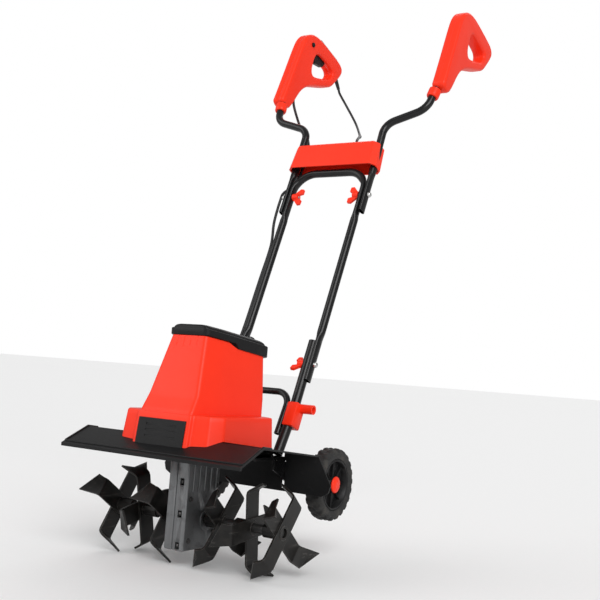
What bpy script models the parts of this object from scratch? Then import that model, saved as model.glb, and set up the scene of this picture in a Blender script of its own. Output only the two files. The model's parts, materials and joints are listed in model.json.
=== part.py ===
"""Walk-behind electric tiller: separate solids on one shared frame, in metres.

X runs along the tine axle, Y from the front to the operator and Z upwards.
The origin is the middle of the flat foot under the gear case. Pieces are written
about the tine axle's centre and hang from one empty that stands at that height.
"""
import math

import bmesh
import bpy
from mathutils import Vector

for old in list(bpy.data.objects):
    bpy.data.objects.remove(old, do_unlink=True)

# ---------------------------------------------------------------- driving sizes
gap = 0.0004                      # clearance between pieces that rest on each other
run_gap = 0.00008                 # radial clearance of a running fit
axle_height = 0.052               # tine axle above the gear case's foot

axle_radius = 0.0085
axle_half_length = 0.187
case_half_width = 0.022
case_split = -0.004               # parting plane, left of the middle so the foot is whole there
case_front = -0.064
case_rear = 0.032
case_top = 0.118
case_wall = 0.004
case_bulge_radius = 0.047
wheel_gear_radius = 0.028
worm_radius = 0.0075
motor_back = -(wheel_gear_radius + worm_radius + 0.0006)   # motor axis, along Y

tine_stations = (0.062, 0.125, 0.187)   # middle of each star along the axle
tine_bend_radius = 0.066
tine_bend_angle = math.radians(62)
tine_horns = (0.017, 0.022, 0.039)       # trailing corner, notch and leading corner past the bend
tine_bar_width = 0.036
tine_bar_thickness = 0.004
tine_hub_radius = 0.0130
tine_hub_length = 0.035

guard_half_width = 0.199
guard_front = -0.160
guard_lip_height = 0.1225
guard_crest = -0.098
guard_crest_height = 0.151
guard_rear = 0.140
guard_fall = 0.10                 # drop of the rear deck for each metre back
guard_wall = 0.003
guard_curtain_low = 0.052
guard_rear_half_width = 0.168

wheel_radius = 0.071
wheel_width = 0.035
wheel_outer = 0.165
wheel_back = 0.228
wheel_height = 0.067
wheel_axle_radius = 0.005
rim_radius = 0.050

leg_x = 0.0905                    # middle frame legs
leg_radius = 0.0088
tube_sides = 12
low_tube_radius = 0.0102
joint_half_depth = 0.0055         # half thickness of the flattened tube ends
joint_gap = 0.0006
lean = math.radians(22.4)         # frame's lean back from upright
low_pivot = Vector((0.0, 0.222, 0.299))
pivot_distance = 0.412
leg_below = 0.036                 # leg end below the lower pivot
tube_above = 0.052                # lower tube end above the lower pivot
upper_below = 0.043               # upper tube end below the upper pivot
arch_above = 0.0635               # middle frame's arch above the upper pivot
arch_bend = 0.048
carry_radius = 0.0068
carry_height = 0.240
carry_foot = 0.158
carry_bend = 0.030
pivot_bolt_radius = 0.003
knob_span = 0.040
knob_reach = 0.023

handle_x = 0.213
handle_half_width = 0.0165
handle_tube_radius = 0.0092
cover_half_width = 0.1125
cover_low = 0.070                 # cover's lower edge above the upper pivot
cover_high = 0.133
cover_depth = 0.0225
cover_wall = 0.0025

lead_radius = 0.0032

along = Vector((0.0, math.sin(lean), math.cos(lean)))      # up the frame
behind = Vector((0.0, math.cos(lean), -math.sin(lean)))    # square to it, to the rear
high_pivot = low_pivot + pivot_distance * along
bracket_x = 0.096
bracket_wall = 0.004
low_tube_x = leg_x - 2 * joint_half_depth - joint_gap
high_tube_x = leg_x + 2 * joint_half_depth + joint_gap

machine = bpy.data.objects.new("machine", None)
machine.location = (0.0, 0.0, axle_height)
bpy.context.collection.objects.link(machine)


# ---------------------------------------------------------------- materials
def finish(name, colour, roughness, metallic=0.0):
    made = bpy.data.materials.new(name)
    made.use_nodes = True
    shader = made.node_tree.nodes["Principled BSDF"]
    shader.inputs["Base Color"].default_value = (*colour, 1.0)
    shader.inputs["Roughness"].default_value = roughness
    shader.inputs["Metallic"].default_value = metallic
    return made


red_plastic = finish("red_plastic", (0.80, 0.020, 0.012), 0.35)
black_plastic = finish("black_plastic", (0.022, 0.022, 0.022), 0.5)
black_paint = finish("black_paint", (0.012, 0.012, 0.012), 0.28, 0.2)
tine_steel = finish("tine_steel", (0.05, 0.047, 0.042), 0.45, 0.6)
cast_alloy = finish("cast_alloy", (0.33, 0.34, 0.35), 0.45, 0.8)
bright_steel = finish("bright_steel", (0.62, 0.62, 0.62), 0.3, 1.0)
dark_steel = finish("dark_steel", (0.10, 0.10, 0.10), 0.4, 0.8)
bronze = finish("bronze", (0.55, 0.36, 0.16), 0.4, 0.9)
copper_pack = finish("copper_pack", (0.42, 0.20, 0.10), 0.5, 0.6)
soft_rubber = finish("soft_rubber", (0.020, 0.020, 0.020), 0.75)
tyre_rubber = finish("tyre_rubber", (0.030, 0.030, 0.028), 0.85)
cord_rubber = finish("cord_rubber", (0.015, 0.015, 0.015), 0.6)


# ---------------------------------------------------------------- mesh helpers
def place(name, mesh, material, round_shape=False):
    piece = bpy.data.objects.new(name, mesh)
    bpy.context.collection.objects.link(piece)
    piece.parent = machine
    mesh.materials.append(material)
    if round_shape:
        mesh.shade_smooth()
        mesh.set_sharp_from_angle(angle=math.radians(35))
    return piece


def solid(name, points, faces, material, round_shape=False):
    mesh = bpy.data.meshes.new(name)
    mesh.from_pydata([tuple(p) for p in points], [], faces)
    shape = bmesh.new()
    shape.from_mesh(mesh)
    bmesh.ops.recalc_face_normals(shape, faces=shape.faces)
    shape.to_mesh(mesh)
    shape.free()
    return place(name, mesh, material, round_shape)


def loft(name, rings, material, round_shape=False, closed=False):
    """Skin through rings with equal point counts; closed joins the last to the first."""
    count = len(rings[0])
    points = [p for ring in rings for p in ring]
    faces = []
    spans = len(rings) if closed else len(rings) - 1
    for i in range(spans):
        low = i * count
        high = ((i + 1) % len(rings)) * count
        for j in range(count):
            k = (j + 1) % count
            faces.append((low + j, low + k, high + k, high + j))
    if not closed:
        faces.append(tuple(range(count)))
        faces.append(tuple((len(rings) - 1) * count + j for j in range(count)))
    return solid(name, points, faces, material, round_shape)


def on_axis(axis, along_axis, a, b):
    if axis == "x":
        return (along_axis, a, b)
    if axis == "y":
        return (a, along_axis, b)
    return (a, b, along_axis)


def prism(name, outline, axis, low, high, material):
    """Outline in the two other axes, in X, Y, Z order, drawn out along axis."""
    rings = [[on_axis(axis, level, a, b) for a, b in outline] for level in (low, high)]
    return loft(name, rings, material)


def turned(name, profile, axis, centre, sides, material):
    """Closed profile of (radius, place along axis) turned about a line through centre."""
    rings = []
    for k in range(sides):
        turn = 2 * math.pi * k / sides
        ring = []
        for radius, level in profile:
            a = radius * math.cos(turn)
            b = radius * math.sin(turn)
            ring.append(Vector(centre) + Vector(on_axis(axis, level, a, b)))
        rings.append(ring)
    return loft(name, rings, material, True, closed=True)


def disc(name, radius, axis, centre, low, high, sides, material):
    outline = [(radius * math.cos(2 * math.pi * k / sides), radius * math.sin(2 * math.pi * k / sides))
               for k in range(sides)]
    rings = [[Vector(centre) + Vector(on_axis(axis, level, a, b)) for a, b in outline]
             for level in (low, high)]
    return loft(name, rings, material, True)


def stepped(name, steps, axis, centre, sides, material):
    """Solid bar of (radius, place) steps along an axis, flat at both ends."""
    rings = []
    for radius, level in steps:
        ring = []
        for k in range(sides):
            turn = 2 * math.pi * k / sides
            ring.append(Vector(centre) + Vector(on_axis(axis, level, radius * math.cos(turn),
                                                        radius * math.sin(turn))))
        rings.append(ring)
    return loft(name, rings, material, True)


def ring_profile(inner, outer, low, high, chamfer=0.0):
    if chamfer == 0.0:
        return [(inner, low), (outer, low), (outer, high), (inner, high)]
    c = chamfer
    return [(inner, low), (outer - c, low), (outer, low + c), (outer, high - c), (outer - c, high), (inner, high)]


def bent_route(corners, radii, steps=6):
    """Corner points joined by straight runs, with an arc of the given radius at each corner."""
    route = [Vector(corners[0])]
    for i in range(1, len(corners) - 1):
        here = Vector(corners[i])
        back = (Vector(corners[i - 1]) - here).normalized()
        ahead = (Vector(corners[i + 1]) - here).normalized()
        half = back.angle(ahead) / 2
        radius = radii[i - 1]
        trim = radius / math.tan(half)
        middle = here + (back + ahead).normalized() * (radius / math.sin(half))
        start = here + back * trim
        finish_point = here + ahead * trim
        first = start - middle
        last = finish_point - middle
        sweep = first.angle(last)
        for k in range(steps + 1):
            t = k / steps
            arm = first * math.sin((1 - t) * sweep) / math.sin(sweep) + last * math.sin(t * sweep) / math.sin(sweep)
            route.append(middle + arm)
    route.append(Vector(corners[-1]))
    return route


def tube(name, route, sections, sides, material, side=Vector((1, 0, 0)), bore=0.0):
    """Tube along a route. sections gives (half size along side, half size across) at each point."""
    rings = []
    inner = []
    count = len(route)
    for i, point in enumerate(route):
        if i == 0:
            ahead = route[1] - route[0]
        elif i == count - 1:
            ahead = route[-1] - route[-2]
        else:
            ahead = (route[i + 1] - point).normalized() + (point - route[i - 1]).normalized()
        ahead = ahead.normalized()
        side = (side - ahead * side.dot(ahead)).normalized()
        across = ahead.cross(side)
        wide, deep = sections[i]
        rings.append([point + side * wide * math.cos(a) + across * deep * math.sin(a)
                      for a in (2 * math.pi * k / sides for k in range(sides))])
        if bore:
            inner.append([point + side * (wide - bore) * math.cos(a) + across * (deep - bore) * math.sin(a)
                          for a in (2 * math.pi * k / sides for k in range(sides))])
    if bore:
        return loft(name, rings + inner[::-1], material, True, closed=True)
    return loft(name, rings, material, True)


def hide(piece):
    piece.hide_render = True
    piece.display_type = "WIRE"


def combine(target, other, operation):
    hide(other)
    step = target.modifiers.new(operation.lower(), "BOOLEAN")
    step.operation = operation
    step.solver = "EXACT"
    step.object = other
    return target


def cut(target, other):
    return combine(target, other, "DIFFERENCE")


def soften(piece, width, segments=1):
    edge = piece.modifiers.new("soften", "BEVEL")
    edge.width = width
    edge.segments = segments
    edge.limit_method = "ANGLE"
    edge.angle_limit = math.radians(40)
    return piece


def smooth_route(points, spacing):
    """Evenly spaced points on a Catmull-Rom curve through the given points."""
    marks = [Vector(p) for p in points]
    marks = [2 * marks[0] - marks[1]] + marks + [2 * marks[-1] - marks[-2]]
    fine = []
    for i in range(1, len(marks) - 2):
        a, b, c, d = marks[i - 1:i + 3]
        for k in range(24):
            t = k / 24
            fine.append(0.5 * (2 * b + (c - a) * t + (2 * a - 5 * b + 4 * c - d) * t * t
                               + (3 * b - a - 3 * c + d) * t ** 3))
    fine.append(marks[-2])
    length = sum((fine[i + 1] - fine[i]).length for i in range(len(fine) - 1))
    pieces = max(2, round(length / spacing))
    step = length / pieces
    route = [fine[0]]
    left = step
    for i in range(len(fine) - 1):
        run = fine[i + 1] - fine[i]
        reach = run.length
        used = 0.0
        while reach - used >= left and len(route) < pieces:
            used += left
            route.append(fine[i] + run * (used / reach))
            left = step
        left -= reach - used
    route.append(fine[-1])
    return route


def cord(name, points, radius, material):
    route = smooth_route(points, radius * 5)
    curve = bpy.data.curves.new(name, "CURVE")
    curve.dimensions = "3D"
    curve.bevel_depth = radius
    curve.bevel_resolution = 2
    curve.use_fill_caps = True
    line = curve.splines.new("POLY")
    line.points.add(len(route) - 1)
    for mark, point in zip(line.points, route):
        mark.co = (*point, 1.0)
    curve.materials.append(material)
    piece = bpy.data.objects.new(name, curve)
    bpy.context.collection.objects.link(piece)
    piece.parent = machine
    return piece


# ---------------------------------------------------------------- gear case
case_bolt_levels = (0.070, 0.013, -0.043)
case_bolt_back = case_front + 0.006
case_notch = (0.0045, 0.0135)     # sides of the notch each bolt head sits in
bearing_radius = 0.0145
bearing_width = 0.009
case_foot = -axle_height


def case_outline(inset):
    """Column with a round belly about the axle and a flat foot."""
    front = case_front + inset
    rear = case_rear - inset
    top = case_top - inset
    foot = case_foot + inset
    radius = case_bulge_radius - inset
    low_turn = math.radians(-68)
    high_turn = math.acos(min(1.0, rear / radius))
    belly = [(radius * math.cos(low_turn + (high_turn - low_turn) * k / 8),
              radius * math.sin(low_turn + (high_turn - low_turn) * k / 8)) for k in range(9)]
    return [(front, foot), (0.012, foot)] + belly + [(rear, top), (front, top)]


def make_gear_case():
    sides = (("left", -1), ("right", 1))
    for word, way in sides:
        outer = sorted((case_split + way * gap / 2, way * case_half_width))
        half = prism("gear_case_" + word, case_outline(0.0), "x", outer[0], outer[1], cast_alloy)
        soften(half, 0.0022)
        room = sorted((-way * 0.01, way * (case_half_width - case_wall - 0.005)))
        cut(half, prism("case_room_" + word, case_outline(case_wall + 0.002), "x", room[0], room[1], cast_alloy))
        seat = disc("case_seat_" + word, bearing_radius + gap, "x", (0, 0, 0), -0.0155, 0.0155, 24, cast_alloy)
        cut(half, seat)
        bore = disc("case_bore_" + word, axle_radius + 0.0012, "x", (0, 0, 0), -0.04, 0.04, 24, cast_alloy)
        cut(half, bore)
        shaft = disc("case_shaft_hole_" + word, 0.0065, "z", (0, motor_back, 0), 0.06, 0.13, 16, cast_alloy)
        cut(half, shaft)
        for number, level in enumerate(case_bolt_levels, 1):
            hole = disc("case_bolt_hole_%s_%d" % (word, number), 0.0024 + gap, "x",
                        (0, case_bolt_back, level), -0.0165, 0.008, 10, cast_alloy)
            cut(half, hole)
            if way > 0:
                deep = case_bolt_back + 0.0052
                room = [(case_front - 0.01, level - 0.0062), (deep, level - 0.0062), (deep, level + 0.0062),
                        (case_front - 0.01, level + 0.0062)]
                cut(half, prism("case_notch_%d" % number, room, "x", case_notch[0], case_notch[1], cast_alloy))
    for number, level in enumerate(case_bolt_levels, 1):
        stepped("gear_case_bolt_%d" % number,
                [(0.0024, -0.0155), (0.0024, case_notch[0] + gap), (0.0045, case_notch[0] + gap),
                 (0.0045, case_notch[0] + 0.0045), (0.0038, case_notch[0] + 0.0052)],
                "x", (0, case_bolt_back, level), 8, dark_steel)
    for word, way in sides:
        span = sorted((way * 0.0064, way * (0.0064 + bearing_width)))
        turned("axle_bearing_" + word, ring_profile(axle_radius + run_gap, bearing_radius, span[0], span[1]),
               "x", (0, 0, 0), 24, bright_steel)


def make_axle():
    stepped("tine_axle", [(axle_radius - 0.001, -axle_half_length), (axle_radius, -axle_half_length + 0.001),
                          (axle_radius, axle_half_length - 0.001), (axle_radius - 0.001, axle_half_length)],
            "x", (0, 0, 0), 24, dark_steel)
    teeth = 32
    depth = 0.0022
    outline = []
    for k in range(teeth * 2):
        radius = wheel_gear_radius if k % 2 == 0 else wheel_gear_radius - depth
        turn = math.pi * (k + 0.5) / teeth
        outline.append((radius * math.cos(turn), radius * math.sin(turn)))
    gear = prism("worm_wheel", outline, "x", -0.0055, 0.0055, bronze)
    cut(gear, disc("worm_wheel_bore", axle_radius + run_gap, "x", (0, 0, 0), -0.02, 0.02, 24, bronze))


# ---------------------------------------------------------------- tines
def tine_bar(name, centre, angle, lean_first, lean_last):
    """One flat bar through the hub whose ends bend sideways and finish in a forked blade."""
    half = tine_bar_width / 2
    thick = tine_bar_thickness / 2
    curl = 0.010                          # length of bar taken up by each bend
    straight = tine_bend_radius - curl / 2
    turns = 2                             # flats in each bend

    def station(run):
        """Distance out from the hub, sideways shift and turn at a length along the bar."""
        bent = run - straight
        if bent <= 0:
            return run, 0.0, 0.0
        turn = min(bent / curl, 1.0) * tine_bend_angle
        bend = curl / tine_bend_angle
        rest = max(bent - curl, 0.0)
        out = straight + bend * math.sin(turn) + rest * math.cos(turn)
        return out, bend * (1 - math.cos(turn)) + rest * math.sin(turn), turn

    runs = [straight + curl * k / turns for k in range(turns + 1)]
    strip = []
    for end, leaning in ((-1, lean_last), (1, lean_first)):
        rows = []
        for run in runs:
            rows.append([(station(run), share * half) for share in (-1, 0, 1)])
        rows.append([(station(tine_bend_radius + horn), share * half * 1.15)
                     for horn, share in zip(tine_horns, (-1, 0, 1))])
        made = []
        for row in rows:
            line = []
            for (out, shift, turn), wide in row:
                line.append((end * out, end * wide, leaning * shift, end * leaning * turn))
            made.append(line[::end])
        strip += made[::end]
    ca, sa = math.cos(angle), math.sin(angle)
    rings = []
    for row in strip:
        ring = []
        for sign, order in ((1, row), (-1, row[::-1])):
            for out, wide, shift, turn in order:
                x = centre + shift + sign * thick * math.cos(turn)
                reach = out - sign * thick * math.sin(turn)
                ring.append((x, reach * ca - wide * sa, reach * sa + wide * ca))
        rings.append(ring)
    return loft(name, rings, tine_steel)


def make_tines():
    words = ("inner", "middle", "outer")
    for word, way in (("left", -1), ("right", 1)):
        for number, station in enumerate(tine_stations):
            name = "tine_%s_%s" % (words[number], word)
            turn = math.radians(50 if number != 1 else 6) + (0 if way > 0 else math.radians(7))
            centre = way * station
            step = tine_bar_thickness / 2 - 0.0004
            star = tine_bar(name, centre + way * step, turn, -way, -way)
            other = tine_bar(name + "_cross_bar", centre - way * step, turn + math.pi / 2, way, way)
            combine(star, other, "UNION")
            span = sorted((centre - way * tine_hub_length, centre + way * 0.0045))
            hub = disc(name + "_hub", tine_hub_radius, "x", (0, 0, 0), span[0], span[1], 12, tine_steel)
            combine(star, hub, "UNION")
            bore = disc(name + "_bore", (axle_radius + run_gap) / math.cos(math.pi / 12), "x", (0, 0, 0),
                        centre - 0.05, centre + 0.05, 12, tine_steel)
            cut(star, bore)


# ---------------------------------------------------------------- motor
plate_low = case_top + gap
plate_high = plate_low + 0.006
plate_radius = 0.041
shaft_radius = 0.0050
stator_low = 0.186
stator_high = 0.250


def make_motor():
    centre = (0, motor_back, 0)
    turned("motor_plate", ring_profile(0.0075, plate_radius, plate_low, plate_high),
           "z", centre, 28, cast_alloy)
    turned("motor_stator", [(0.0305, stator_low), (0.0385, stator_low), (0.0385, stator_high + 0.014),
                            (0.010, stator_high + 0.020), (shaft_radius + run_gap, stator_high + 0.020),
                            (shaft_radius + run_gap, stator_high + 0.012), (0.0305, stator_high + 0.008)],
           "z", centre, 24, copper_pack)
    stepped("armature", [(shaft_radius - 0.001, -0.042), (shaft_radius - 0.001, -0.018), (worm_radius, -0.014),
                         (worm_radius, 0.014), (shaft_radius - 0.001, 0.018), (shaft_radius, 0.045),
                         (shaft_radius, stator_low + 0.002), (0.0292, stator_low + 0.002),
                         (0.0292, stator_high - 0.006), (0.014, stator_high - 0.004), (0.014, stator_high + 0.006),
                         (shaft_radius, stator_high + 0.007), (shaft_radius, stator_high + 0.030)],
            "z", centre, 16, dark_steel)
    turned("cooling_fan", [(shaft_radius + run_gap, 0.150), (0.034, 0.150), (0.034, 0.158), (0.010, 0.170),
                           (shaft_radius + run_gap, 0.170)], "z", centre, 24, black_plastic)


# ---------------------------------------------------------------- tine guard
def deck_height(back):
    """Top of the guard's deck at a place along Y."""
    if back < guard_crest:
        rise = (guard_crest_height - guard_lip_height) / (guard_crest - guard_front)
        return guard_lip_height + (back - guard_front) * rise
    return guard_crest_height - (back - guard_crest) * guard_fall


def make_guard():
    wall = guard_wall
    lip = 0.007
    split = guard_crest + 0.028
    wing = [(guard_front - 0.002, guard_lip_height - lip), (guard_front - 0.002, guard_lip_height - 0.001),
            (guard_front, guard_lip_height), (guard_crest, guard_crest_height),
            (split, deck_height(split)), (split, deck_height(split) - wall),
            (guard_crest + 0.001, guard_crest_height - wall - 0.0005), (guard_front + 0.002, guard_lip_height - wall),
            (guard_front + 0.001, guard_lip_height - lip)]
    guard = prism("tine_guard", wing, "x", -guard_half_width, guard_half_width, black_plastic)
    start = split - 0.002
    deck = [(start, deck_height(start)), (guard_rear + wall, deck_height(guard_rear)),
            (guard_rear + wall, deck_height(guard_rear) - wall), (start, deck_height(start) - wall)]
    combine(guard, prism("guard_deck", deck, "x", -guard_rear_half_width, guard_rear_half_width,
                         black_plastic), "UNION")
    top = deck_height(guard_rear) - 0.001
    low = guard_curtain_low
    wide = guard_rear_half_width
    flare = guard_half_width
    curtain = [(-wide, top), (-wide - 0.012, top - 0.02), (-flare, low + 0.022), (-flare + 0.004, low + 0.008),
               (-flare + 0.018, low), (flare - 0.018, low), (flare - 0.004, low + 0.008), (flare, low + 0.022),
               (wide + 0.012, top - 0.02), (wide, top)]
    combine(guard, prism("guard_curtain", curtain, "y", guard_rear, guard_rear + wall, black_plastic), "UNION")
    cut(guard, disc("guard_motor_hole", plate_radius + 0.002, "z", (0, motor_back, 0), 0.10, 0.18, 24, black_plastic))
    for word, way in (("left", -1), ("right", 1)):
        foot = low_tube_foot(way)
        rise = (deck_height(foot.y) - foot.z) / -low_foot_run.z
        hole = disc("guard_tube_hole_" + word, low_tube_radius + 0.004, "z",
                    (foot.x, foot.y - low_foot_run.y * rise, 0), 0.10, 0.18, 16, black_plastic)
        cut(guard, hole)
        span = sorted((way * (bracket_x - bracket_wall - 0.001), way * (bracket_x + 0.001)))
        slot = [(guard_rear - 0.02, 0.058), (guard_rear + 0.02, 0.058), (guard_rear + 0.02, 0.110),
                (guard_rear - 0.02, 0.110)]
        cut(guard, prism("guard_arm_slot_" + word, slot, "x", span[0], span[1], black_plastic))


# ---------------------------------------------------------------- motor housing
housing_wall = 0.0028


def housing_ring(front, front_wide, belly, belly_wide, rear, rear_wide, level):
    """Eight-sided plan, narrow at the front; level is a height or a function of Y."""
    plan = [(-front_wide, front), (front_wide, front), (belly_wide, belly), (rear_wide, rear),
            (rear_wide - 0.022, rear + 0.014), (-rear_wide + 0.022, rear + 0.014), (-rear_wide, rear),
            (-belly_wide, belly)]
    return [(x, y, level(y) if callable(level) else level) for x, y in plan]


def cap_seat(back):
    """Height of the housing's top edge, falling to the rear."""
    return 0.333 - (back + 0.070) * 0.14


ledge_height = 0.193


def skirt_ring(front, front_wide, share, rear, level, w):
    """Plan ring whose sloping sides all run the same way, so the walls between rings stay flat."""
    belly_wide = front_wide + 0.055 * share
    belly = front + 0.035 * share
    return housing_ring(front + w, front_wide - w / 2, belly + w, belly_wide - w, rear - w, belly_wide - w, level - w)


def skirt_rings(w):
    """Wide lower part of the housing, from below the deck up to the ledge; w is the inset."""
    return [
        skirt_ring(-0.132, 0.0602, 1.0, 0.062, 0.118, w),
        skirt_ring(-0.122, 0.0590, 0.93, 0.060, ledge_height - 0.002, w),
        skirt_ring(-0.1205, 0.0580, 0.91, 0.0595, ledge_height, w),
    ]


def tower_rings(w):
    """Narrow upper part of the housing; w is the inset."""
    return [
        housing_ring(-0.1205 + w, 0.058 - w, -0.060, 0.068 - w, 0.070 - w, 0.0805 - w, ledge_height - 0.010 - 4 * w),
        housing_ring(-0.1195 + w, 0.058 - w, -0.060, 0.068 - w, 0.070 - w, 0.0805 - w, ledge_height),
        housing_ring(-0.101 + w, 0.0555 - w, -0.050, 0.0645 - w, 0.072 - w, 0.079 - w, 0.226),
        housing_ring(-0.070 + w, 0.039 - w, -0.030, 0.052 - w, 0.072 - w, 0.072 - w, lambda y: cap_seat(y) - w),
    ]


vent_half_width = 0.0525
vent_low = 0.1385
vent_high = 0.1815


def front_face(level):
    """Y of the housing's lower front face at a height."""
    return -0.130 + (level - deck_height(-0.130)) * 0.008 / (0.193 - deck_height(-0.130))


def make_housing():
    housing = loft("motor_housing", skirt_rings(0.0), red_plastic)
    combine(housing, loft("housing_tower", tower_rings(0.0), red_plastic), "UNION")
    rest = gap + 0.0002
    under = [(guard_front - 0.01, 0.08), (guard_front - 0.01, deck_height(guard_front - 0.01) + rest),
             (guard_crest, guard_crest_height + rest), (0.12, deck_height(0.12) + rest), (0.12, 0.08)]
    cut(housing, prism("housing_under", under, "x", -0.13, 0.13, red_plastic))
    cut(housing, loft("skirt_room", skirt_rings(housing_wall), red_plastic))
    cut(housing, loft("tower_room", tower_rings(housing_wall), red_plastic))
    window = prism("vent_window", [(-0.15, vent_low - 0.02), (-0.112, vent_low - 0.02), (-0.108, vent_high + gap),
                                   (-0.15, vent_high + gap)], "x", -vent_half_width - gap, vent_half_width + gap,
                   red_plastic)
    cut(housing, window)
    cut(housing, disc("lead_hole", lead_radius + 0.001, "y", (lower_lead[-1].x, 0, lower_lead[-1].z), 0.06, 0.12, 12,
                      red_plastic))
    outline = [(front_face(vent_low) - 0.0015, vent_low), (front_face(vent_high) - 0.0015, vent_high),
               (front_face(vent_high) + 0.003, vent_high), (front_face(vent_low) + 0.003, vent_low)]
    vent = prism("vent_panel", outline, "x", -vent_half_width, vent_half_width, black_plastic)
    for number in range(3):
        level = 0.150 + 0.0105 * number
        face = front_face(level)
        slot = [(face - 0.01, level - 0.003), (face + 0.01, level + 0.001), (face + 0.01, level + 0.0035),
                (face - 0.01, level - 0.0005)]
        cut(vent, prism("vent_slot_%d" % number, slot, "x", -0.034, 0.034, black_plastic))


def make_cap():
    def cap_ring(grow, lift):
        return housing_ring(-0.0705 - grow / 2, 0.0395 + grow, -0.030, 0.0535 + grow, 0.076 + grow, 0.0745 + grow,
                            lambda y: cap_seat(y) + lift)
    loft("housing_cap", [cap_ring(-0.0005, gap), cap_ring(0.0015, 0.003), cap_ring(0.0020, 0.012),
                         cap_ring(-0.003, 0.0185), cap_ring(-0.014, 0.0210)], black_plastic)


# ---------------------------------------------------------------- frame tubes
def round_sections(route, radius):
    return [(radius, radius)] * len(route)


def flattened(route, radius, middle, reach):
    """Round sections that turn flat near a pivot point."""
    sections = []
    for point in route:
        away = (Vector((0, point.y, point.z)) - Vector((0, middle.y, middle.z))).length
        share = min(max((away - reach) / 0.018, 0.0), 1.0)
        wide = joint_half_depth + (radius - joint_half_depth) * share
        deep = radius * 1.22 + (radius - radius * 1.22) * share
        sections.append((wide, deep))
    return sections


low_bend = low_pivot - 0.098 * along
low_foot_run = Vector((0.0, -0.487, -0.873))
bracket_top = case_top


def low_tube_foot(way):
    reach = (low_bend.z - bracket_top - 0.003) / -low_foot_run.z
    return low_bend + low_foot_run * reach + Vector((way * low_tube_x, 0, 0))


def make_lower_tubes():
    for word, way in (("left", -1), ("right", 1)):
        shift = Vector((way * low_tube_x, 0, 0))
        top = low_pivot + tube_above * along + shift
        flat_start = low_pivot - 0.046 * along + shift
        corners = [low_tube_foot(way), low_bend + shift, flat_start - 0.016 * along]
        route = bent_route(corners, [0.06], 3)
        route += [flat_start, low_pivot + 0.02 * along + shift, top]
        sections = flattened(route, low_tube_radius, low_pivot, 0.056)
        piece = tube("lower_tube_" + word, route, sections, tube_sides, black_paint, bore=0.0015)
        cut(piece, bolt_hole("lower_tube_hole_" + word, low_pivot, way))


def bolt_hole(name, middle, way):
    return disc(name, pivot_bolt_radius + 0.0003, "x", (0, middle.y, middle.z),
                min(way * 0.05, way * 0.13), max(way * 0.05, way * 0.13), 12, black_paint)


def make_carry_arch():
    x = low_tube_x - low_tube_radius - carry_radius - 0.001
    level = low_pivot - along * ((low_pivot.z - carry_height) / along.z)
    bottom = low_pivot - along * ((low_pivot.z - carry_foot) / along.z) - Vector((0, 0.006, 0))
    corners = [bottom - Vector((x, 0, 0)), level - Vector((x, 0, 0)), level + Vector((x, 0, 0)),
               bottom + Vector((x, 0, 0))]
    route = bent_route(corners, [carry_bend, carry_bend], 5)
    tube("carry_arch", route, round_sections(route, carry_radius), 10, black_paint, Vector((0, 1, 0)), bore=0.0012)


def make_middle_frame():
    low = low_pivot - leg_below * along
    top = high_pivot + arch_above * along
    flat_low = [low, low_pivot + 0.056 * along, low_pivot + 0.074 * along]
    flat_high = [high_pivot - 0.066 * along, high_pivot - 0.048 * along]
    left = Vector((-leg_x, 0, 0))
    right = Vector((leg_x, 0, 0))
    arc = bent_route([high_pivot + left + 0.001 * along, top + left, top + right, high_pivot + right + 0.001 * along],
                     [arch_bend, arch_bend], 4)
    route = [p + left for p in flat_low + flat_high] + arc + [p + right for p in (flat_low + flat_high)[::-1]]
    sections = []
    for point in route:
        near_low = (Vector((0, point.y, point.z)) - low_pivot).length
        near_high = (Vector((0, point.y, point.z)) - high_pivot).length
        share = min(max((near_low - 0.056) / 0.018, 0.0), max((near_high - 0.048) / 0.018, 0.0), 1.0)
        if abs(point.x) < leg_x - 0.001:
            share = max(share, min((leg_x - abs(point.x)) / 0.010, 1.0))
        sections.append((joint_half_depth + (leg_radius - joint_half_depth) * share,
                         leg_radius * (1.22 - 0.22 * share)))
    frame = tube("middle_frame", route, sections, tube_sides, black_paint, bore=0.0014)
    for middle, word in ((low_pivot, "low"), (high_pivot, "high")):
        for side_word, way in (("left", -1), ("right", 1)):
            cut(frame, bolt_hole("frame_hole_%s_%s" % (word, side_word), middle, way))


def upper_corners(way):
    return [high_pivot - upper_below * along + Vector((way * high_tube_x, 0, 0)),
            high_pivot + 0.042 * along + Vector((way * high_tube_x, 0, 0)),
            high_pivot + 0.060 * along + Vector((way * high_tube_x, 0, 0)),
            high_pivot + Vector((way * 0.1015, 0.0675, 0.176)), high_pivot + Vector((way * 0.197, 0.0795, 0.208)),
            high_pivot + Vector((way * handle_x, 0.128, 0.312))]


def make_upper_tubes():
    for word, way in (("left", -1), ("right", 1)):
        corners = upper_corners(way)
        route = [corners[0], corners[1]] + bent_route(corners[2:], [0.036, 0.040], 4)
        sections = flattened(route, leg_radius, high_pivot, 0.043)
        piece = tube("upper_tube_" + word, route, sections, tube_sides, black_paint, bore=0.0014)
        cut(piece, bolt_hole("upper_tube_hole_" + word, high_pivot, way))


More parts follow.
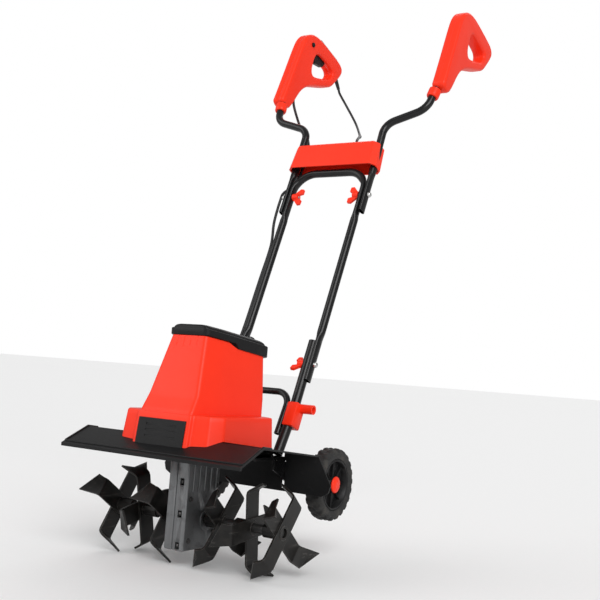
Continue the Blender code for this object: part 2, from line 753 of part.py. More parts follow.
# ---------------------------------------------------------------- pivots and knobs
def make_pivot(word, middle, way, inner_x, outer_x, body_word):
    """Bolt from outside with a dome head, and a wing knob on its inner end."""
    head = outer_x + joint_half_depth + 0.0005
    seat = inner_x - joint_half_depth - 0.0005
    spot = (0, middle.y, middle.z)
    levels = [(pivot_bolt_radius, seat - knob_reach + 0.008), (pivot_bolt_radius, head), (0.0062, head),
              (0.0062, head + 0.003), (0.0048, head + 0.0055), (0.002, head + 0.0066)]
    steps = [(radius, way * level) for radius, level in levels]
    stepped("pivot_bolt_%s_%s" % (body_word, word), steps, "x", spot, 10, bright_steel)
    name = "wing_knob_%s_%s" % (body_word, word)
    span = sorted((way * seat, way * (seat - 0.0135)))
    hub = disc(name, 0.0085, "x", spot, span[0], span[1], 16, red_plastic)
    half = knob_span / 2
    outline = []
    for y, x in ((-half, seat - knob_reach), (-half + 0.011, seat - knob_reach - 0.0005), (-0.0055, seat - 0.0120),
                 (0.0055, seat - 0.0120), (half - 0.011, seat - knob_reach - 0.0005), (half, seat - knob_reach),
                 (half + 0.001, seat - knob_reach + 0.008), (0.0084, seat - 0.0035), (-0.0084, seat - 0.0035),
                 (-half - 0.001, seat - knob_reach + 0.008)):
        outline.append((way * x, y))
    tilt = math.radians(65 if body_word == "upper" else 35)
    rings = []
    for thick in (-0.003, 0.003):
        ring = []
        for x, y in outline:
            ring.append((x, middle.y + y * math.cos(tilt) - thick * math.sin(tilt),
                         middle.z + y * math.sin(tilt) + thick * math.cos(tilt)))
        rings.append(ring)
    wings = loft(name + "_wings", rings, red_plastic)
    combine(hub, wings, "UNION")
    ends = sorted((way * (seat + 0.002), way * (seat - knob_reach - 0.01)))
    cut(hub, disc(name + "_bore", pivot_bolt_radius + 0.0003, "x", spot, ends[0], ends[1], 12, red_plastic))


def make_pivots():
    for word, way in (("left", -1), ("right", 1)):
        make_pivot(word, low_pivot, way, low_tube_x, leg_x, "lower")
        make_pivot(word, high_pivot, way, leg_x, high_tube_x, "upper")


def make_frame_clamp():
    """Red clamp block on the right lower tube, with a short boss to the outside."""
    middle = low_pivot - 0.112 * along + behind * -0.001
    x = low_tube_x
    reach = low_tube_radius + gap
    outer = reach + 0.0055
    rings = []
    for s in (-0.026, 0.024):
        ring = []
        for a, b in ((-reach + 0.0025, -outer), (outer, -outer), (outer, outer), (-reach + 0.0025, outer)):
            ring.append(middle + along * s + Vector((x + a, 0, 0)) + behind * b)
        rings.append(ring)
    clamp = loft("frame_clamp", rings, red_plastic)
    soften(clamp, 0.003, 2)
    boss = disc("clamp_boss", 0.0095, "x", (0, middle.y + 0.012, middle.z + 0.014), x + 0.004, x + 0.042, 18, red_plastic)
    combine(clamp, boss, "UNION")
    cut(clamp, disc("clamp_boss_bore", 0.006, "x", (0, middle.y + 0.012, middle.z + 0.014), x + 0.030, x + 0.06, 14,
                    red_plastic))
    shift = Vector((x, 0, 0))
    corners = [low_tube_foot(1), low_bend + shift, low_pivot - 0.062 * along + shift]
    route = bent_route(corners, [0.06], 3)
    cut(clamp, tube("clamp_bore", route, round_sections(route, reach + 0.0003), tube_sides, red_plastic))


# ---------------------------------------------------------------- rear bracket and wheels
def make_rear_bracket():
    """Plate behind the gear case with two arms back to the wheel axle."""
    low = bracket_top - 0.005
    plate = [(case_rear + 0.002, low), (0.136, low), (0.136, bracket_top), (case_rear + 0.002, bracket_top)]
    bracket = prism("rear_bracket", plate, "x", -bracket_x, bracket_x, black_paint)
    arm = [(0.100, bracket_top - 0.001), (0.100, 0.094), (0.150, 0.068), (wheel_back - 0.010, wheel_height - 0.013),
           (wheel_back + 0.008, wheel_height - 0.012), (wheel_back + 0.014, wheel_height),
           (wheel_back + 0.006, wheel_height + 0.013), (0.150, 0.098), (0.134, bracket_top - 0.001)]
    for word, way in (("left", -1), ("right", 1)):
        span = sorted((way * (bracket_x - bracket_wall), way * bracket_x))
        combine(bracket, prism("bracket_arm_" + word, arm, "x", span[0], span[1], black_paint), "UNION")
    bore = disc("bracket_bore", wheel_axle_radius + gap, "x", (0, wheel_back, wheel_height), -0.13, 0.13, 16, black_paint)
    cut(bracket, bore)


def make_wheels():
    end = wheel_outer - 0.006
    stepped("wheel_axle", [(wheel_axle_radius - 0.001, -end), (wheel_axle_radius, -end + 0.001),
                           (wheel_axle_radius, end - 0.001), (wheel_axle_radius - 0.001, end)],
            "x", (0, wheel_back, wheel_height), 16, bright_steel)
    spot = (0, wheel_back, wheel_height)
    middle = wheel_outer - wheel_width / 2
    half = wheel_width / 2
    for word, way in (("left", -1), ("right", 1)):
        tread = [(rim_radius + 0.001, -half + 0.003), (wheel_radius - 0.006, -half), (wheel_radius - 0.0015, -half + 0.004),
                 (wheel_radius, -half + 0.010), (wheel_radius, half - 0.010), (wheel_radius - 0.0015, half - 0.004),
                 (wheel_radius - 0.006, half), (rim_radius + 0.001, half - 0.003)]
        turned("tyre_" + word, [(r, way * (middle + s)) for r, s in tread], "x", spot, 28, tyre_rubber)
        rim = [(wheel_axle_radius + run_gap, -0.012), (0.011, -0.012), (0.012, -0.003), (rim_radius - 0.006, -0.003),
               (rim_radius - 0.004, -half + 0.003), (rim_radius + 0.0006, -half + 0.003), (rim_radius + 0.0006, half - 0.003),
               (rim_radius - 0.004, half - 0.003), (rim_radius - 0.006, 0.002), (0.014, 0.002), (0.013, 0.009),
               (wheel_axle_radius + run_gap, 0.009)]
        turned("wheel_rim_" + word, [(r, way * (middle + s)) for r, s in rim], "x", spot, 24, black_plastic)
        cap_low = max(end, middle + 0.009) + gap
        stepped("hub_cap_" + word, [(0.0135, way * cap_low), (0.0165, way * (cap_low + 0.001)),
                                    (0.0155, way * (cap_low + 0.004)), (0.007, way * (cap_low + 0.0065))],
                "x", spot, 20, red_plastic)


# ---------------------------------------------------------------- cross cover
def cover_point(x, back, up):
    return high_pivot + behind * back + along * up + Vector((x, 0, 0))


cover_lead_top = cover_point(-0.0960, 0.0138, cover_high)
cover_cord_top = cover_point(0.040, 0.006, cover_high)


def cover_ring(inset, up, lift):
    wide = cover_half_width - inset - lift
    deep = cover_depth - inset
    corner = 0.010
    plan = [(-wide + corner, -deep), (wide - corner, -deep), (wide, -deep + corner), (wide, deep - corner),
            (wide - corner, deep), (-wide + corner, deep), (-wide, deep - corner), (-wide, -deep + corner)]
    return [cover_point(x, y, up) for x, y in plan]


def make_cover():
    cover = loft("cross_cover", [cover_ring(0.0, cover_low, 0.0), cover_ring(0.0, cover_high - 0.004, 0.004),
                                 cover_ring(0.003, cover_high, 0.005)], red_plastic)
    cut(cover, loft("cover_room", [cover_ring(cover_wall, cover_low - 0.01, 0.0),
                                   cover_ring(cover_wall, cover_high - cover_wall - 0.002, 0.004)], red_plastic))
    for word, way in (("left", -1), ("right", 1)):
        corners = upper_corners(way)
        route = bent_route(corners[2:], [0.036, 0.040], 4)
        hole = tube("cover_hole_" + word, route, round_sections(route, leg_radius + gap), tube_sides, red_plastic)
        cut(cover, hole)
    for name, middle in (("lead", cover_lead_top), ("cord", cover_cord_top)):
        hole = tube("cover_hole_" + name, [middle - along * 0.012, middle + along * 0.012],
                    [(lead_radius + 0.0012, lead_radius + 0.0012)] * 2, 12, red_plastic)
        cut(cover, hole)


# ---------------------------------------------------------------- D handles
def grip_point(back, up):
    """Place in the handle's side view, measured from the upper pivot."""
    return high_pivot.y + back, high_pivot.z + up


handle_outline = [grip_point(y, z) for y, z in [(0.091, 0.265), (0.101, 0.286), (0.132, 0.355),
                                                (0.162, 0.424), (0.177, 0.453), (0.196, 0.471),
                                                (0.223, 0.480), (0.261, 0.477), (0.349, 0.453),
                                                (0.369, 0.444), (0.377, 0.432), (0.373, 0.417),
                                                (0.337, 0.382), (0.325, 0.372), (0.311, 0.366),
                                                (0.227, 0.344), (0.203, 0.334), (0.184, 0.322),
                                                (0.167, 0.305), (0.143, 0.272), (0.121, 0.250)]]
handle_window = [grip_point(y, z) for y, z in [(0.218, 0.380), (0.227, 0.414), (0.239, 0.432), (0.255, 0.437),
                                               (0.315, 0.421), (0.327, 0.413), (0.327, 0.404),
                                               (0.313, 0.390), (0.299, 0.384), (0.231, 0.369)]]


def inset_outline(outline, amount):
    """Outline moved inwards by amount, for outlines that run clockwise in (Y, Z)."""
    moved = []
    count = len(outline)
    for i in range(count):
        before = Vector(outline[i - 1])
        here = Vector(outline[i])
        after = Vector(outline[(i + 1) % count])
        one = (here - before).normalized()
        two = (after - here).normalized()
        inward = Vector((one.y + two.y, -one.x - two.x)).normalized()
        stretch = 1 / max(0.5, math.sqrt((1 + one.dot(two)) / 2))
        spot = here + inward * amount * stretch
        moved.append((spot.x, spot.y))
    return moved


trigger_front = high_pivot.y + 0.243
trigger_rear = high_pivot.y + 0.293
grip_low = high_pivot.z + 0.425      # underside of the grip at the trigger


def make_handle(word, way):
    for half, side in (("outer", way), ("inner", -way)):
        name = "handle_%s_%s" % (word, half)
        split = way * handle_x + side * gap / 2
        shoulder = way * handle_x + side * (handle_half_width - 0.006)
        face = way * handle_x + side * handle_half_width
        rings = [[(x, a, b) for a, b in inset_outline(handle_outline, inset)]
                 for x, inset in ((split, 0.0), (shoulder, 0.0), (face, 0.007))]
        shell = loft(name, rings, red_plastic)
        holes = [[(x, a, b) for a, b in inset_outline(handle_window, inset)]
                 for x, inset in ((way * handle_x - side * 0.01, 0.0), (shoulder, 0.0), (face + side * 0.004, -0.007))]
        cut(shell, loft(name + "_window", holes, red_plastic))
        corners = upper_corners(way)
        route = bent_route(corners[2:], [0.036, 0.040], 4)
        cut(shell, tube(name + "_socket", route, round_sections(route, leg_radius + gap), tube_sides, red_plastic))
        room = [grip_point(y, z) for y, z in [(0.233, 0.444), (0.233, 0.463), (0.249, 0.467), (0.321, 0.449),
                                              (0.321, 0.432), (0.255, 0.446)]]
        span = sorted((split - side * 0.01, way * handle_x + side * (handle_half_width - 0.005)))
        if word == "left":
            cut(shell, prism(name + "_room", room, "x", span[0], span[1], red_plastic))
            mouth = [(trigger_front - 0.0015, grip_low - 0.010), (trigger_rear + 0.0015, grip_low - 0.010),
                     (trigger_rear + 0.0015, grip_low + 0.023), (trigger_front - 0.0015, grip_low + 0.029)]
            wide = sorted((way * handle_x - 0.0068, way * handle_x + 0.0068))
            cut(shell, prism(name + "_trigger_mouth", mouth, "x", wide[0], wide[1], red_plastic))
        pad_cut = prism(name + "_pad_seat", pad_outline(0.0004), "x", way * handle_x - 0.0124,
                        way * handle_x + 0.0124, red_plastic)
        cut(shell, pad_cut)
        if word == "left":
            cut(shell, relief_tube(name + "_relief_seat", 0.0052 + gap, 0.0002))
            drop = (lead_exit_low - lead_exit_high).normalized() * 0.004
            cut(shell, tube(name + "_lead_exit", [lead_exit_high - drop, lead_exit_low + drop],
                            [(lead_radius + 0.0016, lead_radius + 0.0016)] * 2, 12, red_plastic))
            if half == "inner":
                cut(shell, disc(name + "_button_hole", 0.0066, "x", (0, button_y, button_z),
                                min(face, split) - 0.002, max(face, split) + 0.004, 16, red_plastic))


button_y = high_pivot.y + 0.213
button_z = high_pivot.z + 0.448
lead_exit_high = high_pivot + Vector((-0.209, 0.161, 0.312))
lead_exit_low = high_pivot + Vector((-0.205, 0.155, 0.277))
relief_start = high_pivot + Vector((-0.213, 0.359, 0.420))
relief_end = high_pivot + Vector((-0.213, 0.389, 0.386))


def relief_tube(name, radius, extra):
    way = (relief_end - relief_start).normalized()
    route = [relief_start - way * extra, relief_end]
    return tube(name, route, [(radius, radius)] * 2, 16, soft_rubber)


def pad_outline(spare):
    """Soft strip let into the top of the grip."""
    top = [grip_point(0.261, 0.4775), grip_point(0.349, 0.4535)]
    lift = 0.0014 - spare
    deep = 0.004 + spare
    return [(top[0][0] - spare, top[0][1] - deep), (top[0][0] - spare, top[0][1] + lift + 2 * spare + 0.003 * (spare > 0)),
            (top[1][0] + spare, top[1][1] + lift + 2 * spare + 0.003 * (spare > 0)), (top[1][0] + spare, top[1][1] - deep)]


def make_grip_parts():
    for word, way in (("left", -1), ("right", 1)):
        make_handle(word, way)
        prism("grip_pad_" + word, pad_outline(0.0), "x", way * handle_x - 0.012, way * handle_x + 0.012, soft_rubber)
    lever = [(trigger_front, grip_low + 0.0225), (trigger_front, grip_low - 0.005), (trigger_front + 0.006, grip_low - 0.013),
             (trigger_rear - 0.008, grip_low - 0.011), (trigger_rear, grip_low - 0.003), (trigger_rear, grip_low + 0.0125)]
    prism("trigger", lever, "x", -handle_x - 0.0060, -handle_x + 0.0060, black_plastic)
    stepped("lock_button", [(0.0060, -handle_x + 0.0095), (0.0060, -handle_x + handle_half_width + 0.0030),
                            (0.0048, -handle_x + handle_half_width + 0.0042)],
            "x", (0, button_y, button_z), 16, black_plastic)
    way = (relief_end - relief_start).normalized()
    route = [relief_start, relief_start + way * 0.020, relief_end]
    gland = tube("cord_relief", route, [(0.0052, 0.0052), (0.0052, 0.0052), (0.0042, 0.0042)], 16, soft_rubber)
    bore = tube("relief_bore", [relief_start - way * 0.01, relief_end + way * 0.01],
                [(lead_radius - 0.0004, lead_radius - 0.0004)] * 2, 10, soft_rubber)
    cut(gland, bore)


# ---------------------------------------------------------------- leads
relief_way = (relief_end - relief_start).normalized()
switch_loop = [relief_end + relief_way * gap, relief_end + relief_way * 0.014,
               high_pivot + Vector((-0.200, 0.421, 0.344)), high_pivot + Vector((-0.165, 0.411, 0.295)),
               high_pivot + Vector((-0.115, 0.346, 0.245)), high_pivot + Vector((-0.060, 0.251, 0.205)),
               high_pivot + Vector((0.000, 0.141, 0.175)),
               cover_cord_top + along * 0.022 + Vector((-0.006, 0, 0)),
               cover_cord_top, cover_cord_top - along * 0.012]
lead_side = leg_x + leg_radius + lead_radius + 0.0008
lead_low_x = -(leg_x + joint_half_depth + 0.0071 + lead_radius + gap)         # clear of the lower bolt's head
lead_high_x = -(high_tube_x + joint_half_depth + 0.0071 + lead_radius + gap)  # clear of the upper bolt's head
upper_lead = [lead_exit_high, lead_exit_low, high_pivot + Vector((-0.186, 0.151, 0.232)),
              high_pivot + Vector((-0.150, 0.121, 0.190)), high_pivot + Vector((-0.114, 0.089, 0.162)),
              cover_lead_top + along * 0.012, cover_lead_top, cover_point(-0.0962, 0.0140, 0.100),
              cover_point(-0.0975, 0.0145, 0.070), cover_point(-0.1100, 0.0130, 0.040),
              cover_point(lead_high_x, 0.0030, 0.016), cover_point(lead_high_x, 0.0, 0.006)]
middle_lead = [cover_point(lead_high_x, 0.0, -0.006), cover_point(lead_high_x, 0.0, -0.024),
               cover_point(-0.1150, 0.0, -0.070), cover_point(-lead_side, 0.0, -0.130),
               cover_point(-lead_side, 0.0, -0.220), cover_point(-lead_side, 0.0, -0.330),
               cover_point(lead_low_x, 0.0, 0.026 - pivot_distance),
               cover_point(lead_low_x, 0.0, 0.004 - pivot_distance)]
lower_lead = [cover_point(lead_low_x, 0.0, -0.004 - pivot_distance),
              cover_point(lead_low_x + 0.002, 0.012, -0.026 - pivot_distance),
              cover_point(-0.086, 0.022, -0.054 - pivot_distance), cover_point(-0.060, 0.020, -0.082 - pivot_distance),
              Vector((-0.044, 0.172, 0.221)), Vector((-0.037, 0.125, 0.213)), Vector((-0.035, 0.092, 0.212)),
              Vector((-0.035, 0.074, 0.212))]


def make_leads():
    cord("switch_cord", switch_loop, lead_radius, cord_rubber)
    cord("power_lead_upper", upper_lead, lead_radius, cord_rubber)
    cord("power_lead_middle", middle_lead, lead_radius, cord_rubber)
    cord("power_lead_lower", lower_lead, lead_radius, cord_rubber)


make_gear_case()
make_axle()
make_tines()
make_motor()
make_guard()
make_housing()
make_cap()
make_lower_tubes()
make_carry_arch()
make_middle_frame()
make_upper_tubes()
make_pivots()
make_frame_clamp()
make_rear_bracket()
make_wheels()
make_cover()
make_grip_parts()
make_leads()
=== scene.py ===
import json
import math

import bmesh
import bpy
from mathutils import Matrix, Vector


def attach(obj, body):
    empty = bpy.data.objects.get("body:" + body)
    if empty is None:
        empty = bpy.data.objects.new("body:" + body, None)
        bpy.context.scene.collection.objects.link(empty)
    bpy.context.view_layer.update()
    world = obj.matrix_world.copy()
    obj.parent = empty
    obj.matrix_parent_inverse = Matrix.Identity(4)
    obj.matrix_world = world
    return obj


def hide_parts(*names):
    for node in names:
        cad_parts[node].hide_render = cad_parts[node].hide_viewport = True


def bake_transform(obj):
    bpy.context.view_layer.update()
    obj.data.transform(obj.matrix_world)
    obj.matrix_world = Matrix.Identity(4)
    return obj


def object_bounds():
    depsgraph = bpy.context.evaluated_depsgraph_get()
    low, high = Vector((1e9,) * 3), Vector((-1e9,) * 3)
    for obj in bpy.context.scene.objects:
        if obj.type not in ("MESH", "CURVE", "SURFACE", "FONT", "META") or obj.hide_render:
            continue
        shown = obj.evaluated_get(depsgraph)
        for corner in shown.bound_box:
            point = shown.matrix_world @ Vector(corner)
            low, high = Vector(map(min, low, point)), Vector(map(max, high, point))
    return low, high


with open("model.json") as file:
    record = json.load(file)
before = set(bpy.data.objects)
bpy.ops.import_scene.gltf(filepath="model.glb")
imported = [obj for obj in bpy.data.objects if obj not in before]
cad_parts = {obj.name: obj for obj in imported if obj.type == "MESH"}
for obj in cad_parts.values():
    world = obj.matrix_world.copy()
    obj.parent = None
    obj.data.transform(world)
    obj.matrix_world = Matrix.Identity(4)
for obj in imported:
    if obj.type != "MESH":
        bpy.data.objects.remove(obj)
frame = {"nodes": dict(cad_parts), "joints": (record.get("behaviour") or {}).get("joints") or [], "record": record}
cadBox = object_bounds()
nodes = frame["nodes"]
jointAt = {joint["name"]: Vector(joint["pos_m"]) for joint in frame["joints"] if joint.get("pos_m")}
axleAt = jointAt["tine_spin"]
lowPivot = Vector((0, jointAt["middle_fold"].y, jointAt["middle_fold"].z))
highPivot = Vector((0, jointAt["upper_fold"].y, jointAt["upper_fold"].z))
pivotGap = (highPivot - lowPivot).length
along = (highPivot - lowPivot).normalized()      # up the frame
behind = Vector((0, along.z, -along.y))          # square to the frame, to the rear
sides = (("left", -1), ("right", 1))
print("frame loaded")

# the camera stands low, in front and to the right
camera = {"place": (1.0576, -1.4232, 0.3262), "turn": 31.4763, "tilt": -4.6146, "roll": 4.4635,
          "lens": 56.476, "sensor": 36}


def makeCamera(spec):
    turn, tilt, roll = [math.radians(spec[key]) for key in ("turn", "tilt", "roll")]
    ahead = Vector((-math.sin(turn) * math.cos(tilt), math.cos(turn) * math.cos(tilt), -math.sin(tilt)))
    level = Vector((math.cos(turn), math.sin(turn), 0))
    upright = level.cross(ahead)
    right = level * math.cos(roll) + upright * math.sin(roll)
    top = upright * math.cos(roll) - level * math.sin(roll)
    data = bpy.data.cameras.new("standpoint")
    data.sensor_width = spec["sensor"]
    data.lens = spec["lens"]
    made = bpy.data.objects.new("standpoint", data)
    made.matrix_world = Matrix((right, top, -ahead)).transposed().to_4x4()
    made.location = spec["place"]
    bpy.context.scene.collection.objects.link(made)
    bpy.context.scene.camera = made


makeCamera(camera)


# a socket whose arithmetic adds Math nodes
class Wire:
    def __init__(self, finish, socket):
        self.finish = finish
        self.socket = socket

    def maths(self, operation, first, second):
        return self.finish.node("Math", {"operation": operation}, {0: first, 1: second})

    def __add__(self, other):
        return self.maths("ADD", self, other)

    def __sub__(self, other):
        return self.maths("SUBTRACT", self, other)

    def __rsub__(self, other):
        return self.maths("SUBTRACT", other, self)

    def __mul__(self, other):
        return self.maths("MULTIPLY", self, other)

    __radd__ = __add__
    __rmul__ = __mul__


# edges count as worn where the surface turns by this much within the given radius
edgeWear = {"samples": 6, "from": 0.01, "to": 0.12}


class Finish:
    def __init__(self, name, metallic=0.0, coat=0.0, coatRoughness=0.1, specular=0.5):
        self.material = bpy.data.materials.new(name)
        self.material.use_nodes = True
        self.tree = self.material.node_tree
        self.shader = self.tree.nodes["Principled BSDF"]
        self.shader.inputs["Metallic"].default_value = metallic
        self.shader.inputs["Coat Weight"].default_value = coat
        self.shader.inputs["Coat Roughness"].default_value = coatRoughness
        self.shader.inputs["Specular IOR Level"].default_value = specular
        self.place = self.node("TexCoord", {}, {}, "Object")

    # any node: its kind, its settings, then what its sockets hold or are fed by
    def node(self, kind, settings, inputs, output=0):
        made = self.tree.nodes.new("ShaderNode" + kind)
        for key, value in settings.items():
            setattr(made, key, value)
        for key, value in inputs.items():
            if isinstance(value, Wire):
                self.tree.links.new(value.socket, made.inputs[key])
            else:
                made.inputs[key].default_value = value
        return Wire(self, made.outputs[output])

    def cloud(self, scale, detail=4, stretch=None, roughness=0.55):
        place = self.place
        if stretch:
            place = self.node("Mapping", {}, {"Vector": place, "Scale": stretch})
        return self.node("TexNoise", {}, {"Vector": place, "Scale": scale, "Detail": detail,
                                          "Roughness": roughness})

    def between(self, value, low, high):
        return self.node("MapRange", {"interpolation_type": "SMOOTHSTEP"},
                         {"Value": value, "From Min": low, "From Max": high})

    def tint(self, share, first, second):
        def colour(value):
            return value if isinstance(value, Wire) else (*value, 1)
        return self.node("Mix", {"data_type": "RGBA"}, {0: share, 6: colour(first), 7: colour(second)}, 2)

    # bright where the surface turns sharply within the given radius
    def edges(self, radius):
        soft = self.node("Bevel", {"samples": edgeWear["samples"]}, {"Radius": radius})
        flat = self.node("NewGeometry", {}, {}, "Normal")
        same = self.node("VectorMath", {"operation": "DOT_PRODUCT"}, {0: soft, 1: flat}, "Value")
        return self.between(1 - same, edgeWear["from"], edgeWear["to"])

    def done(self, colour, roughness, height, depth):
        links = self.tree.links
        links.new(colour.socket, self.shader.inputs["Base Color"])
        links.new(roughness.socket, self.shader.inputs["Roughness"])
        bump = self.node("Bump", {}, {"Distance": depth, "Height": height})
        links.new(bump.socket, self.shader.inputs["Normal"])
        return self.material


# moulded plastic: fine spark-eroded grain, faint flow clouds, light scuffs and rubbed edges
redPlastic = {"colour": (0.95, 0.038, 0.010), "shade": (0.82, 0.026, 0.007), "rubbed": (0.96, 0.075, 0.045),
              "roughness": 0.36, "spread": 0.14, "grain": 1500, "depth": 0.00006, "specular": 0.22}
blackPlastic = {"colour": (0.005, 0.005, 0.0053), "shade": (0.010, 0.010, 0.0105),
                "rubbed": (0.045, 0.045, 0.045), "roughness": 0.40, "spread": 0.16, "grain": 1100,
                "depth": 0.00010, "specular": 0.20}
plasticMarks = {"flow": 9, "scuffs": 60, "scuffStretch": (1, 9, 1.6), "scuffRange": (0.60, 0.74), "dust": 28,
                "dustRange": (0.56, 0.80), "edge": 0.0016, "edgePatches": 70}


def mouldedPlastic(name, spec):
    marks = plasticMarks
    made = Finish(name, specular=spec["specular"])
    flow = made.cloud(marks["flow"], 5)
    grain = made.cloud(spec["grain"], 2)
    scuffs = made.between(made.cloud(marks["scuffs"], 6, marks["scuffStretch"]), *marks["scuffRange"])
    dust = made.between(made.cloud(marks["dust"], 8), *marks["dustRange"])
    rubbed = made.edges(marks["edge"]) * made.cloud(marks["edgePatches"], 4)
    colour = made.tint(flow, spec["colour"], spec["shade"])
    colour = made.tint(rubbed * 0.55 + scuffs * 0.10, colour, spec["rubbed"])
    roughness = spec["roughness"] + spec["spread"] * (flow - 0.5) + 0.10 * scuffs + 0.12 * dust
    return made.done(colour, roughness, grain + 0.5 * flow - 0.3 * scuffs, spec["depth"])


# black paint on tube: orange peel, a thin film of dust and bare metal where it is knocked
tubePaint = {"colour": (0.006, 0.006, 0.0065), "dust": (0.030, 0.029, 0.027), "chip": (0.12, 0.11, 0.10),
             "roughness": 0.24, "peel": 420, "depth": 0.00008, "film": 14, "filmRange": (0.48, 0.78),
             "chips": 150, "chipRange": (0.70, 0.73), "chipAreas": 11, "areaRange": (0.52, 0.66)}


def paintedTube(name, spec):
    made = Finish(name, coat=0.10, coatRoughness=0.12, specular=0.26)
    peel = made.cloud(spec["peel"], 2)
    film = made.between(made.cloud(spec["film"], 7), *spec["filmRange"])
    areas = made.between(made.cloud(spec["chipAreas"], 2), *spec["areaRange"])
    chips = made.between(made.cloud(spec["chips"], 3), *spec["chipRange"]) * areas
    colour = made.tint(film * 0.30, spec["colour"], spec["dust"])
    colour = made.tint(chips, colour, spec["chip"])
    roughness = spec["roughness"] + 0.20 * film + 0.25 * chips
    return made.done(colour, roughness, peel - 1.6 * chips, spec["depth"])


# tines: dark rolled steel with mill scale, soil-rubbed edges and long draw scratches
bladeSteel = {"colour": (0.0045, 0.0042, 0.0040), "scale": (0.015, 0.0135, 0.012), "bare": (0.15, 0.14, 0.13),
              "roughness": 0.30, "depth": 0.00007, "flakes": 34, "flakeRange": (0.34, 0.70), "pits": 420,
              "scratches": 90, "scratchStretch": (1.0, 0.12, 1.6), "markRange": (0.60, 0.72), "edge": 0.0014,
              "edgePatches": 46, "edgeRange": (0.36, 0.62)}


def wornBlade(name, spec):
    made = Finish(name, metallic=0.10, specular=0.28)
    scale = made.cloud(spec["flakes"], 9, None, 0.62)
    pits = made.between(made.cloud(spec["pits"], 4), *spec["markRange"])
    draw = made.between(made.cloud(spec["scratches"], 4, spec["scratchStretch"]), *spec["markRange"])
    worn = made.edges(spec["edge"]) * made.between(made.cloud(spec["edgePatches"], 5), *spec["edgeRange"])
    colour = made.tint(made.between(scale, *spec["flakeRange"]), spec["colour"], spec["scale"])
    colour = made.tint(0.18 * draw + 0.75 * worn, colour, spec["bare"])
    roughness = spec["roughness"] + 0.26 * scale + 0.20 * pits - 0.12 * worn
    return made.done(colour, roughness, scale - 0.5 * pits - 0.3 * draw, spec["depth"])


# metals: colour, how coarse the skin is, and the direction it is drawn or brushed
castAlloy = {"colour": (0.22, 0.225, 0.23), "shade": (0.12, 0.123, 0.126), "metallic": 0.85,
             "roughness": 0.40, "grain": 620, "depth": 0.00022, "stretch": None}
brightSteel = {"colour": (0.66, 0.66, 0.65), "shade": (0.46, 0.46, 0.45), "metallic": 1.0,
               "roughness": 0.22, "grain": 700, "depth": 0.00003, "stretch": (0.06, 1, 1)}
darkSteel = {"colour": (0.055, 0.055, 0.057), "shade": (0.12, 0.115, 0.11), "metallic": 0.8,
             "roughness": 0.36, "grain": 500, "depth": 0.00005, "stretch": (0.10, 1, 1)}
gearBronze = {"colour": (0.56, 0.36, 0.15), "shade": (0.38, 0.22, 0.09), "metallic": 1.0,
              "roughness": 0.34, "grain": 480, "depth": 0.00005, "stretch": (1, 1, 0.2)}
copperPack = {"colour": (0.45, 0.19, 0.09), "shade": (0.22, 0.09, 0.05), "metallic": 0.7,
              "roughness": 0.42, "grain": 900, "depth": 0.00025, "stretch": (1, 1, 0.08)}
metalMarks = {"blotch": 26, "grime": 58, "grimeRange": (0.52, 0.74), "grimeColour": (0.03, 0.028, 0.026)}


def metalSkin(name, spec):
    made = Finish(name, metallic=spec["metallic"])
    blotch = made.cloud(metalMarks["blotch"], 6)
    skin = made.cloud(spec["grain"], 3, spec["stretch"])
    grime = made.between(made.cloud(metalMarks["grime"], 6), *metalMarks["grimeRange"])
    colour = made.tint(0.6 * blotch + 0.3 * skin, spec["colour"], spec["shade"])
    colour = made.tint(0.35 * grime, colour, metalMarks["grimeColour"])
    roughness = spec["roughness"] + 0.22 * (blotch - 0.5) + 0.18 * grime + 0.08 * skin
    return made.done(colour, roughness, skin + 0.4 * blotch, spec["depth"])


# rubbers: matt, fine pitted, with pale dust caught on it
softRubber = {"colour": (0.016, 0.016, 0.017), "dust": (0.075, 0.073, 0.070), "roughness": 0.68,
              "grain": 1700, "depth": 0.00010, "film": 0.25}
tyreRubber = {"colour": (0.018, 0.018, 0.018), "dust": (0.115, 0.105, 0.092), "roughness": 0.74,
              "grain": 900, "depth": 0.00016, "film": 0.42}
cordSheath = {"colour": (0.011, 0.011, 0.012), "dust": (0.060, 0.058, 0.055), "roughness": 0.46,
              "grain": 1300, "depth": 0.00005, "film": 0.22}
rubberMarks = {"film": 40, "filmRange": (0.44, 0.78), "edge": 0.0012}


def mattRubber(name, spec):
    made = Finish(name, specular=0.4)
    pits = made.cloud(spec["grain"], 3)
    film = made.between(made.cloud(rubberMarks["film"], 8), *rubberMarks["filmRange"])
    rubbed = made.edges(rubberMarks["edge"])
    colour = made.tint(spec["film"] * film + 0.18 * rubbed, spec["colour"], spec["dust"])
    roughness = spec["roughness"] + 0.14 * film - 0.12 * rubbed + 0.08 * (pits - 0.5)
    return made.done(colour, roughness, pits + 0.4 * film, spec["depth"])


finishes = {
    "red_plastic": mouldedPlastic("glossRed", redPlastic),
    "black_plastic": mouldedPlastic("satinBlack", blackPlastic),
    "black_paint": paintedTube("tubeBlack", tubePaint),
    "tine_steel": wornBlade("bladeBlack", bladeSteel),
    "cast_alloy": metalSkin("castSkin", castAlloy),
    "bright_steel": metalSkin("zincSkin", brightSteel),
    "dark_steel": metalSkin("blackedSteel", darkSteel),
    "bronze": metalSkin("gearBronze", gearBronze),
    "copper_pack": metalSkin("windings", copperPack),
    "soft_rubber": mattRubber("softGrip", softRubber),
    "tyre_rubber": mattRubber("tyreTread", tyreRubber),
    "cord_rubber": mattRubber("cordSheath", cordSheath),
}
nodeSlot = {row["node"]: row["material_slot"] for row in frame["record"]["subparts"]}
print("finishes made:", len(finishes))


# dresses a finished piece: finish, the body it rides on and the nodes it stands for
def settle(piece, body, slotName, *stoodFor):
    piece.data.materials.clear()
    piece.data.materials.append(finishes[slotName])
    if body:
        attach(piece, body)
    if stoodFor:
        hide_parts(*stoodFor)
    return piece


